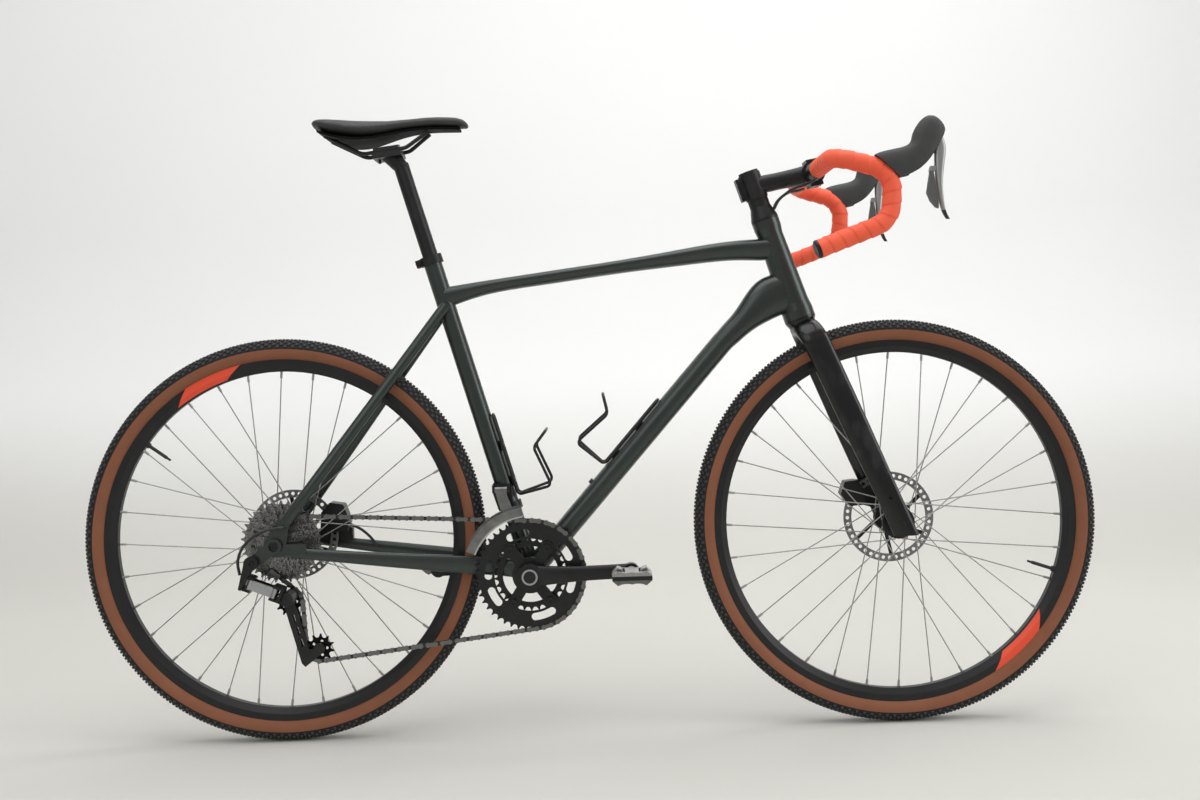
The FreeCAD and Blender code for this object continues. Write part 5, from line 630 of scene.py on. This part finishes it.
# %% Tyre casing
BEAD_HALF_WIDTH = 0.0098
BEAD_DEPTH = 0.003
BEAD_RADIUS = RIM_EDGE - BEAD_DEPTH
CROWN_STEPS = 12
WALL_STEPS = 8
TURN_STEPS = 160
MERGE_DISTANCE = 1e-6


def casing_profile():
    """Half the outer section as (sideways, radius), from the crown to the rim."""
    points = []
    for k in range(CROWN_STEPS + 1):
        turn = pi / 2 * k / CROWN_STEPS
        points.append((CASING_HALF_WIDTH * sin(turn), WIDEST_RADIUS + CROWN_RISE * cos(turn)))
    for k in range(1, WALL_STEPS + 1):
        turn = pi / 2 * k / WALL_STEPS
        narrow = (CASING_HALF_WIDTH - BEAD_HALF_WIDTH) * (1 - cos(turn))
        drop = (WIDEST_RADIUS - BEAD_RADIUS) * sin(turn)
        points.append((CASING_HALF_WIDTH - narrow, WIDEST_RADIUS - drop))
    return points


def ring_faces(rings, sides, closed=False):
    """Quads that join each ring of points to the next, and the last to the first if closed."""
    faces = []
    for k in range(rings if closed else rings - 1):
        here = k * sides
        there = (k + 1) % rings * sides
        for j in range(sides):
            after = (j + 1) % sides
            faces.append((here + j, here + after, there + after, there + j))
    return faces


def end_faces(rings, sides):
    """The two faces that close a row of rings."""
    return [tuple(range(sides)), tuple(range((rings - 1) * sides, rings * sides))]


def turned_mesh(name, profile, axle):
    """A closed profile of (sideways, radius) points turned about an axle across the bike."""
    points = []
    for k in range(TURN_STEPS):
        turn = 2 * pi * k / TURN_STEPS
        points += [(axle.x + radius * cos(turn), axle.y + y, axle.z + radius * sin(turn))
                   for y, radius in profile]
    mesh = bpy.data.meshes.new(name)
    mesh.from_pydata(points, [], ring_faces(TURN_STEPS, len(profile), closed=True))
    return mesh


def outward(mesh):
    """Merge doubles and turn the faces outwards."""
    work = bmesh.new()
    work.from_mesh(mesh)
    bmesh.ops.remove_doubles(work, verts=work.verts, dist=MERGE_DISTANCE)
    bmesh.ops.recalc_face_normals(work, faces=work.faces)
    work.to_mesh(mesh)
    work.free()


def smooth(mesh):
    for face in mesh.polygons:
        face.use_smooth = True


half = casing_profile()
outline = half + [(-y, radius) for y, radius in reversed(half[1:])]
print("casing section points", len(outline))

# %% [markdown]
# ## Knobs by Geometry Nodes
# Some 1,760 knobs on each tyre follow one rule, so Geometry Nodes set them. A tree has named
# inputs for its sizes, ends by turning the copies into real mesh with a material, and its result
# is kept as a plain mesh.

# %% Helpers for geometry trees


def new_tree(name, inputs):
    """A geometry tree with named number inputs after its geometry."""
    tree = bpy.data.node_groups.new(name, "GeometryNodeTree")
    tree.interface.new_socket("Geometry", in_out="INPUT", socket_type="NodeSocketGeometry")
    tree.interface.new_socket("Geometry", in_out="OUTPUT", socket_type="NodeSocketGeometry")
    for label, number in inputs.items():
        socket = tree.interface.new_socket(label, in_out="INPUT", socket_type="NodeSocketFloat")
        socket.default_value = number
    entry = tree.nodes.new("NodeGroupInput")
    fields = {socket.name: Value(tree, socket) for socket in entry.outputs if socket.name}
    return tree, fields


def close_tree(tree, geometry, material):
    """Realize the copies, set their material and end the tree."""
    real = geometry.node("GeometryNodeRealizeInstances", None, {"Geometry": geometry})
    done = real.node("GeometryNodeSetMaterial", None, {"Geometry": real, "Material": material})
    end = tree.nodes.new("NodeGroupOutput")
    tree.links.new(done.socket, end.inputs["Geometry"])


def keep_result(piece):
    """Put what the modifiers show into the piece's own mesh and drop them."""
    bpy.context.view_layer.update()
    shown = piece.evaluated_get(bpy.context.evaluated_depsgraph_get())
    made = bpy.data.meshes.new_from_object(shown)
    piece.modifiers.clear()
    piece.data = made


def grown(name, seed_mesh, tree, numbers):
    """Run a geometry tree on a mesh and keep the result as a plain mesh object."""
    piece = bpy.data.objects.new(name, seed_mesh)
    bpy.context.scene.collection.objects.link(piece)
    modifier = piece.modifiers.new("grow", "NODES")
    modifier.node_group = tree
    for socket in tree.interface.items_tree:
        if socket.in_out == "INPUT" and socket.name in numbers:
            modifier[socket.identifier] = numbers[socket.name]
    keep_result(piece)
    return piece


print("tree helpers ready")

# %% [markdown]
# ## The tread's tree
# A grid of points is bent round the section, and every second row is shifted by half a pitch. A
# four-sided stub is then placed on each point, square to the casing and sunk a little into it.

# %% Tread tree
KNOB_INPUTS = {
    "Widest Radius": WIDEST_RADIUS,
    "Crown Rise": CROWN_RISE,
    "Half Width": CASING_HALF_WIDTH,
    "Spread": radians(69.0),
    "Knob Height": KNOB_HEIGHT,
    "Knob Size": 0.0054,
    "Axle X": 0.0,
    "Axle Z": 0.0,
}
KNOB_ROWS = 11
KNOBS_ROUND = 160
KNOB_CORNER = 0.72
KNOB_TAPER = 0.72
KNOB_DEPTH = 1.6
KNOB_SINK = 0.6
MIDDLE_SIZE = 0.85
SHOULDER_GAIN = 0.2


def tread_tree(material):
    tree, given = new_tree("tread_knobs", KNOB_INPUTS)
    casing = given["Geometry"]
    grid = casing.node("GeometryNodeMeshGrid", None, {"Vertices X": KNOBS_ROUND, "Vertices Y": KNOB_ROWS})
    index = casing.node("GeometryNodeInputIndex")
    row = index.maths("FLOORED_MODULO", KNOB_ROWS)
    around = (index / KNOB_ROWS).maths("FLOOR")
    odd = row.maths("FLOORED_MODULO", 2)
    turn = (around + odd * 0.5) * (2 * pi / KNOBS_ROUND)
    share = (row - (KNOB_ROWS - 1) / 2) / ((KNOB_ROWS - 1) / 2)
    over = share * given["Spread"]
    flank = over.maths("SINE")
    height = over.maths("COSINE")
    radius = given["Widest Radius"] + given["Crown Rise"] * height
    cosine = turn.maths("COSINE")
    sine = turn.maths("SINE")
    spot = turn.node("ShaderNodeCombineXYZ", None, {
        "X": given["Axle X"] + radius * cosine,
        "Y": given["Half Width"] * flank,
        "Z": given["Axle Z"] + radius * sine})
    normal = turn.node("ShaderNodeCombineXYZ", None, {
        "X": given["Half Width"] * height * cosine,
        "Y": given["Crown Rise"] * flank,
        "Z": given["Half Width"] * height * sine})
    forward = turn.node("ShaderNodeCombineXYZ", None, {"X": 0 - sine, "Y": 0.0, "Z": cosine})
    placed = grid.node("GeometryNodeSetPosition", None, {"Geometry": grid, "Position": spot})
    aim = grid.node("FunctionNodeAlignRotationToVector", {"axis": "X"}, {"Vector": forward})
    upright = grid.node("FunctionNodeAlignRotationToVector", {"axis": "Z", "pivot_axis": "X"},
                        {"Rotation": aim, "Vector": normal})
    wide = given["Knob Size"] * KNOB_CORNER
    stub = grid.node("GeometryNodeMeshCone", None, {
        "Vertices": 4, "Radius Top": wide * KNOB_TAPER, "Radius Bottom": wide,
        "Depth": given["Knob Height"] * KNOB_DEPTH})
    square = grid.node("FunctionNodeAxisAngleToRotation", None, {"Axis": (0.0, 0.0, 1.0), "Angle": pi / 4})
    stub = stub.node("GeometryNodeTransform", None, {"Geometry": stub, "Rotation": square})
    sunk = given["Knob Height"] * KNOB_SINK
    stub = stub.node("GeometryNodeTransform", None, {
        "Geometry": stub, "Translation": sunk.node("ShaderNodeCombineXYZ", None, {"Z": 0 - sunk})})
    broad = share.maths("ABSOLUTE") * SHOULDER_GAIN + MIDDLE_SIZE
    size = broad.node("ShaderNodeCombineXYZ", None, {"X": broad, "Y": broad, "Z": 1.0})
    knobs = placed.node("GeometryNodeInstanceOnPoints", None, {
        "Points": placed, "Instance": stub, "Rotation": upright, "Scale": size})
    joined = tree.nodes.new("GeometryNodeJoinGeometry")
    tree.links.new(casing.socket, joined.inputs[0])
    tree.links.new(knobs.socket, joined.inputs[0])
    close_tree(tree, Value(tree, joined.outputs[0]), material)
    return tree


print("tread rows", KNOB_ROWS, "knobs in a row", KNOBS_ROUND)

# %% [markdown]
# ## Both tyres
# One tree makes each tread, with the axle's place as an input. The finished tyre rides on its
# wheel and stands in for the plain solid.

# %% Grow the tyres
for wheel, axle in AXLES.items():
    casing = turned_mesh(wheel + "_casing", outline, axle)
    outward(casing)
    smooth(casing)
    rubber = own_finish[wheel + "_tyre"]
    casing.materials.append(rubber)
    sizes = {**KNOB_INPUTS, "Axle X": axle.x, "Axle Z": axle.z}
    tyre = grown(wheel + "_knobbly_tyre", casing, tread_tree(rubber), sizes)
    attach(tyre, wheel + "_wheel")
    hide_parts(wheel + "_tyre")
    print(tyre.name, "triangles", sum(len(face.vertices) - 2 for face in tyre.data.polygons))

# %% [markdown]
# ## Wound bar tape
# Tape is wound in a spiral, each turn over part of the one before, so the bar has a soft step
# once a pitch. A curve with a bevel would be smooth, so a tube is made ring by ring. First comes
# its route, worked out from the bar's reach, drop and flare.

# %% The bar's route
bar_spot = next(mount for mount in record["mounts"] if mount["name"] == "handlebar_accessory_zone")["pos_m"]
BAR = Vector((bar_spot[0], 0.0, bar_spot[2]))
BAR_HALF_WIDTH = 0.205
BAR_REACH = 0.092
BAR_RAMP = 0.027
BAR_DROP = 0.106
BAR_HOOK = 0.117
BAR_END_FALL = 0.042
BAR_FLARE = 0.016
BEND_RADII = (0.038, 0.042, 0.042)
HOOK_SHARE = 0.25
BEND_SHARE = 0.6
HOOK_BACK = 0.007
ARC_STEPS = 24
TAPE_START = 0.062
TAPE_STEP = 0.0013


def bar_corners():
    top = BAR + Vector((0.0, -BAR_HALF_WIDTH, 0.0))
    hook = top + Vector((BAR_REACH, -BAR_FLARE * HOOK_SHARE, -BAR_RAMP))
    bend = top + Vector((BAR_REACH - HOOK_BACK, -BAR_FLARE * BEND_SHARE, -BAR_DROP))
    end = bend + Vector((-BAR_HOOK, -BAR_FLARE * BEND_SHARE, -BAR_END_FALL))
    return [BAR + Vector((0.0, -TAPE_START, 0.0)), top, hook, bend, end]


def route(corners, radii, spacing):
    """Evenly spaced points along straight runs joined by arcs."""
    raw = [corners[0]]
    for index, radius in enumerate(radii):
        before, corner, after = corners[index:index + 3]
        into = (corner - before).normalized()
        out = (after - corner).normalized()
        half_turn = acos(into.dot(out)) / 2
        reach = radius * tan(half_turn)
        pivot = corner + (out - into).normalized() * (radius / cos(half_turn))
        arm = corner - into * reach - pivot
        turn_axis = into.cross(out).normalized()
        raw += [pivot + Matrix.Rotation(2 * half_turn * k / ARC_STEPS, 3, turn_axis) @ arm
                for k in range(ARC_STEPS + 1)]
    raw.append(corners[-1])
    points = [raw[0]]
    spare = 0.0
    for start, end in zip(raw, raw[1:]):
        length = (end - start).length
        travel = spacing - spare
        while travel < length:
            points.append(start.lerp(end, travel / length))
            travel += spacing
        spare = length - (travel - spacing)
    return points


bar_route = route(bar_corners(), BEND_RADII, TAPE_STEP)
print("points along one side of the bar", len(bar_route))

# %% [markdown]
# ## The winding
# The tube's radius climbs along the spiral and falls back at each edge of the tape. The left side
# is the right side mirrored, and its faces are turned outwards again afterwards.

# %% Bar tape
TAPE_LOW = 0.0142
TAPE_LIP = 0.0014
TAPE_PITCH = 0.021
TAPE_SIDES = 28
LIP_CLIMB = 0.9
LIP_SHAPE = 0.8


def wound_tube(points, mirror):
    """Tube rings along the points, with a spiral step in their radius."""
    vertices = []
    tangent = (points[1] - points[0]).normalized()
    out = tangent.orthogonal().normalized()
    for k, point in enumerate(points):
        ahead = points[min(k + 1, len(points) - 1)] - points[max(k - 1, 0)]
        new_tangent = ahead.normalized()
        out = (out - new_tangent * out.dot(new_tangent)).normalized()
        up = new_tangent.cross(out)
        for j in range(TAPE_SIDES):
            turn = 2 * pi * j / TAPE_SIDES
            phase = (k * TAPE_STEP / TAPE_PITCH - j / TAPE_SIDES) % 1.0
            climb = min(phase / LIP_CLIMB, (1 - phase) / (1 - LIP_CLIMB))
            radius = TAPE_LOW + TAPE_LIP * climb ** LIP_SHAPE
            vertices.append(point + (out * cos(turn) + up * sin(turn)) * radius)
    if mirror:
        vertices = [Vector((v.x, -v.y, v.z)) for v in vertices]
    return vertices, ring_faces(len(points), TAPE_SIDES) + end_faces(len(points), TAPE_SIDES)


def two_sided_tape():
    vertices, faces = wound_tube(bar_route, False)
    others, other_faces = wound_tube(bar_route, True)
    shift = len(vertices)
    mesh = bpy.data.meshes.new("wound_tape")
    faces += [tuple(corner + shift for corner in face) for face in other_faces]
    mesh.from_pydata(vertices + others, [], faces)
    outward(mesh)
    smooth(mesh)
    return mesh


def add_piece(name, mesh, material):
    piece = bpy.data.objects.new(name, mesh)
    bpy.context.scene.collection.objects.link(piece)
    dress(piece, material)
    return piece


tape = add_piece("wound_bar_tape", two_sided_tape(), finishes["orange_tape"])
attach(tape, "steering")
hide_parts("bar_tape")
print("tape faces", len(tape.data.polygons))

# %% [markdown]
# ## The saddle's pad
# A saddle pad is foam under a tight cover: a broad round tail, a slim nose that dips at its tip,
# a crowned top and sides that draw in to the shell. Rounded sections along its length give the
# form. Each row holds a share of the length, a share of the width, and how far the top and the
# underside lie below the pad's highest point.

# %% Saddle pad sections
pad_low, pad_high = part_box("saddle_pad")
PAD_STATIONS = (
    (0.0, 0.30, 0.0098, 0.0140),
    (0.008, 0.60, 0.0062, 0.0178),
    (0.025, 0.77, 0.0040, 0.0212),
    (0.06, 0.89, 0.0034, 0.0250),
    (0.16, 1.0, 0.0062, 0.0350),
    (0.3, 0.9, 0.0095, 0.0390),
    (0.45, 0.61, 0.0078, 0.0330),
    (0.6, 0.42, 0.0042, 0.0240),
    (0.79, 0.31, 0.0004, 0.0200),
    (0.90, 0.27, 0.0016, 0.0212),
    (0.95, 0.25, 0.0046, 0.0222),
    (0.98, 0.20, 0.0100, 0.0230),
    (0.995, 0.12, 0.0160, 0.0234),
    (1.0, 0.05, 0.0205, 0.0236),
)
PAD_STEPS = 120
PAD_SIDES = 56
PAD_FULLNESS = 2.5
PAD_SLACK = 0.0012
PAD_TUCK = 0.10


def eased(rows, share):
    """A smooth curve through rows of (share, numbers), with no overshoot of its slopes."""
    index = max(k for k in range(len(rows) - 1) if rows[k][0] <= share or k == 0)

    def slope(k, column):
        if k == 0 or k == len(rows) - 1:
            near = rows[1] if k == 0 else rows[-2]
            return (near[column] - rows[k][column]) / (near[0] - rows[k][0])
        before = (rows[k][column] - rows[k - 1][column]) / (rows[k][0] - rows[k - 1][0])
        after = (rows[k + 1][column] - rows[k][column]) / (rows[k + 1][0] - rows[k][0])
        if before * after <= 0:
            return 0.0
        return 2 * before * after / (before + after)

    first, second = rows[index], rows[index + 1]
    run = second[0] - first[0]
    t = (share - first[0]) / run
    rise = t * t * (3 - 2 * t)
    numbers = []
    for column in range(1, len(first)):
        bend = slope(index, column) * t * (1 - t) ** 2 - slope(index + 1, column) * t * t * (1 - t)
        numbers.append(first[column] + (second[column] - first[column]) * rise + run * bend)
    return numbers


def signed_power(number, power):
    return abs(number) ** power * (1 if number >= 0 else -1)


def pad_ring(share):
    """One rounded section of the pad, drawn in a little towards its underside."""
    wide, top_drop, low_drop = eased(PAD_STATIONS, share)
    x = pad_low.x + (pad_high.x - pad_low.x) * share
    half_width = (pad_high.y - pad_low.y) / 2 * wide - PAD_SLACK
    top = pad_high.z - top_drop - PAD_SLACK
    low = pad_high.z - low_drop
    ring = []
    for k in range(PAD_SIDES):
        turn = 2 * pi * k / PAD_SIDES
        across = signed_power(cos(turn), 2 / PAD_FULLNESS)
        rise = signed_power(sin(turn), 2 / PAD_FULLNESS)
        tuck = 1 - PAD_TUCK * max(0.0, -rise)
        ring.append((x, half_width * across * tuck, (top + low) / 2 + (top - low) / 2 * rise))
    return ring


def pad_mesh():
    """Sections joined into one closed skin, closer together at both ends."""
    points = []
    for k in range(PAD_STEPS + 1):
        points += pad_ring((1 - cos(pi * k / PAD_STEPS)) / 2)
    faces = end_faces(PAD_STEPS + 1, PAD_SIDES) + ring_faces(PAD_STEPS + 1, PAD_SIDES)
    mesh = bpy.data.meshes.new("pad_cover")
    mesh.from_pydata(points, [], faces)
    outward(mesh)
    return mesh


pad = add_piece("saddle_cover", pad_mesh(), finishes["saddle_cover"])
print("pad sections", PAD_STEPS + 1, "points", len(pad.data.vertices))

# %% [markdown]
# ## Foam under the cover
# A short cloth simulation blows the cover up a little from inside, which gives it the fullness of
# foam that sections alone lack. Its underside is pinned, because there the cover is glued to the
# shell, and no point may move far, so the pad keeps its measured form.

# %% Foam fullness by cloth
PAD_VOXEL = 0.004
PAD_PRESSURE = 4.0
PAD_FRAMES = 20
PAD_SWELL = 0.004
PINNED_SHARE = 0.45
SMOOTH_SHARE = 0.5
SMOOTH_ROUNDS = 4


def remeshed(piece, voxel):
    skin = piece.modifiers.new("even_quads", "REMESH")
    skin.mode = "VOXEL"
    skin.voxel_size = voxel
    keep_result(piece)


def blown_up(piece):
    """Inflate the cover as cloth, its underside pinned, and cap how far a point may move."""
    start = [corner.co.copy() for corner in piece.data.vertices]
    pins = piece.vertex_groups.new(name="glued")
    below = [corner.index for corner in piece.data.vertices if corner.normal.z < -PINNED_SHARE]
    pins.add(below, 1.0, "REPLACE")
    cloth = piece.modifiers.new("cover", "CLOTH")
    cloth.settings.vertex_group_mass = "glued"
    cloth.settings.use_pressure = True
    cloth.settings.uniform_pressure_force = PAD_PRESSURE
    cloth.settings.effector_weights.gravity = 0.0
    cloth.point_cache.frame_end = PAD_FRAMES
    for moment in range(1, PAD_FRAMES + 1):
        bpy.context.scene.frame_set(moment)
    keep_result(piece)
    bpy.context.scene.frame_set(1)
    for corner, place in zip(piece.data.vertices, start):
        move = corner.co - place
        if move.length > PAD_SWELL:
            corner.co = place + move.normalized() * PAD_SWELL
    return max((corner.co - place).length for corner, place in zip(piece.data.vertices, start))


remeshed(pad, PAD_VOXEL)
print("cover moved at most", round(blown_up(pad), 5))
even = pad.modifiers.new("even", "SMOOTH")
even.factor = SMOOTH_SHARE
even.iterations = SMOOTH_ROUNDS
finer = pad.modifiers.new("finer", "SUBSURF")
finer.levels = finer.render_levels = 1
keep_result(pad)
smooth(pad.data)
dress(pad, finishes["saddle_cover"])
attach(pad, "saddle")
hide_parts("saddle_pad")
print("pad points", len(pad.data.vertices))

# %% [markdown]
# ## Floor and backdrop
# The bike stands on a pale seamless sweep: a warm grey floor that curves up into a paler wall. A
# flat floor would show a horizon behind the bike. The colours are the paint's own, and the lamps
# stay low enough that neither clips to white.

# %% Stage
FLOOR_HALF = 12.0
SWEEP_START = 1.5
SWEEP_RADIUS = 1.2
SWEEP_TOP = 5.0
SWEEP_STEPS = 16
WALL_SHADE = (0.89, 0.89, 0.885)
FLOOR_SHADE = (0.62, 0.615, 0.575)
WALL_WEAR = 0.97
FLOOR_WEAR = 0.95


def sweep_mesh():
    """Floor that curves up into a wall behind the bike."""
    profile = [(-FLOOR_HALF, 0.0), (SWEEP_START, 0.0)]
    for k in range(1, SWEEP_STEPS + 1):
        turn = pi / 2 * k / SWEEP_STEPS
        profile.append((SWEEP_START + SWEEP_RADIUS * sin(turn), SWEEP_RADIUS * (1 - cos(turn))))
    profile.append((SWEEP_START + SWEEP_RADIUS, SWEEP_TOP))
    points = [(x, y, z) for y, z in profile for x in (-FLOOR_HALF, FLOOR_HALF)]
    faces = [(2 * k, 2 * k + 1, 2 * k + 3, 2 * k + 2) for k in range(len(profile) - 1)]
    mesh = bpy.data.meshes.new("sweep")
    mesh.from_pydata(points, [], faces)
    smooth(mesh)
    return mesh


floor_paint, floor_shader, floor_place = new_finish("floor_paint", WALL_SHADE, 0.85)
worn = noise(floor_place, 1.6, 5.0)
wall = mixed(worn, [shade * WALL_WEAR for shade in WALL_SHADE], WALL_SHADE)
floor = mixed(worn, [shade * FLOOR_WEAR for shade in FLOOR_SHADE], FLOOR_SHADE)
rising = step(axis(floor_place, "Z"), 0.0, SWEEP_RADIUS / 2)
feed(floor_shader, base_color=mixed(rising, floor, wall))
sweep = add_piece("studio_sweep", sweep_mesh(), floor_paint)
print("sweep faces", len(sweep.data.polygons))

# %% [markdown]
# ## Light
# Broad lamps stand above, in front of the wheel and beside the camera, and a long one washes the
# wall. Black gloss mirrors whatever surrounds it, so the sky is dimmer near the horizon than
# overhead: tubes then keep a bright upper edge and dark flanks.

# %% Sky and lamps
SKY_LOW = (0.62, 0.62, 0.62)
SKY_HIGH = (1.0, 1.0, 1.0)
SKY_RANGE = (-0.2, 0.9)
SKY_STRENGTH = 0.55

scene = bpy.context.scene
scene.view_settings.view_transform = "Standard"
world = bpy.data.worlds.new("studio")
scene.world = world
world.use_nodes = True
sky = world.node_tree.nodes["Background"]
heading = Value(world.node_tree, world.node_tree.nodes.new("ShaderNodeTexCoord").outputs["Generated"])
dome = mixed(step(axis(heading, "Z"), *SKY_RANGE), SKY_LOW, SKY_HIGH)
world.node_tree.links.new(dome.socket, sky.inputs["Color"])
sky.inputs["Strength"].default_value = SKY_STRENGTH


def soft_lamp(name, place, target, size, power):
    lamp = bpy.data.lights.new(name, "AREA")
    lamp.shape = "RECTANGLE"
    lamp.size, lamp.size_y = size
    lamp.energy = power
    holder = bpy.data.objects.new(name, lamp)
    holder.location = place
    holder.rotation_euler = (Vector(target) - Vector(place)).to_track_quat("-Z", "Y").to_euler()
    scene.collection.objects.link(holder)


soft_lamp("overhead", (0.3, -0.3, 3.2), (0.1, 0.0, 0.5), (4.6, 2.4), 66.0)
soft_lamp("front_window", (3.4, -1.0, 1.7), (0.1, 0.0, 0.7), (1.6, 2.4), 36.0)
soft_lamp("camera_side", (-1.6, -3.0, 2.2), (-0.1, 0.0, 0.6), (2.5, 1.6), 14.0)
soft_lamp("wall_wash", (-0.4, 0.8, 3.0), (-0.4, 2.6, 1.0), (5.6, 0.6), 26.0)
print("lamps", len(bpy.data.lights))

# %% [markdown]
# ## Camera
# The camera looks square at the drive side from a little over two metres, and rolls by a degree
# or two. Its lens follows from the distance and from how many metres one pixel covers.

# %% Camera
VIEW_CENTRE = Vector((0.1317, 0.0, 0.6717))
VIEW_DISTANCE = 2.16
VIEW_ROLL = radians(1.84)
METRES_PER_PIXEL = 0.00175
IMAGE_WIDTH = 1200
HORIZON_LIFT = 55
SENSOR = 36.0

lens = bpy.data.cameras.new("camera")
lens.sensor_width = SENSOR
lens.lens = SENSOR * VIEW_DISTANCE / METRES_PER_PIXEL / IMAGE_WIDTH
lens.shift_y = -HORIZON_LIFT / IMAGE_WIDTH
camera = bpy.data.objects.new("camera", lens)
right = Vector((cos(VIEW_ROLL), 0.0, -sin(VIEW_ROLL)))
up = Vector((sin(VIEW_ROLL), 0.0, cos(VIEW_ROLL)))
back = Vector((0.0, -1.0, 0.0))
turned = Matrix((right, up, back)).transposed().to_4x4()
camera.matrix_world = Matrix.Translation(VIEW_CENTRE + back * VIEW_DISTANCE) @ turned
scene.collection.objects.link(camera)
scene.camera = camera
print("lens", round(lens.lens, 2))
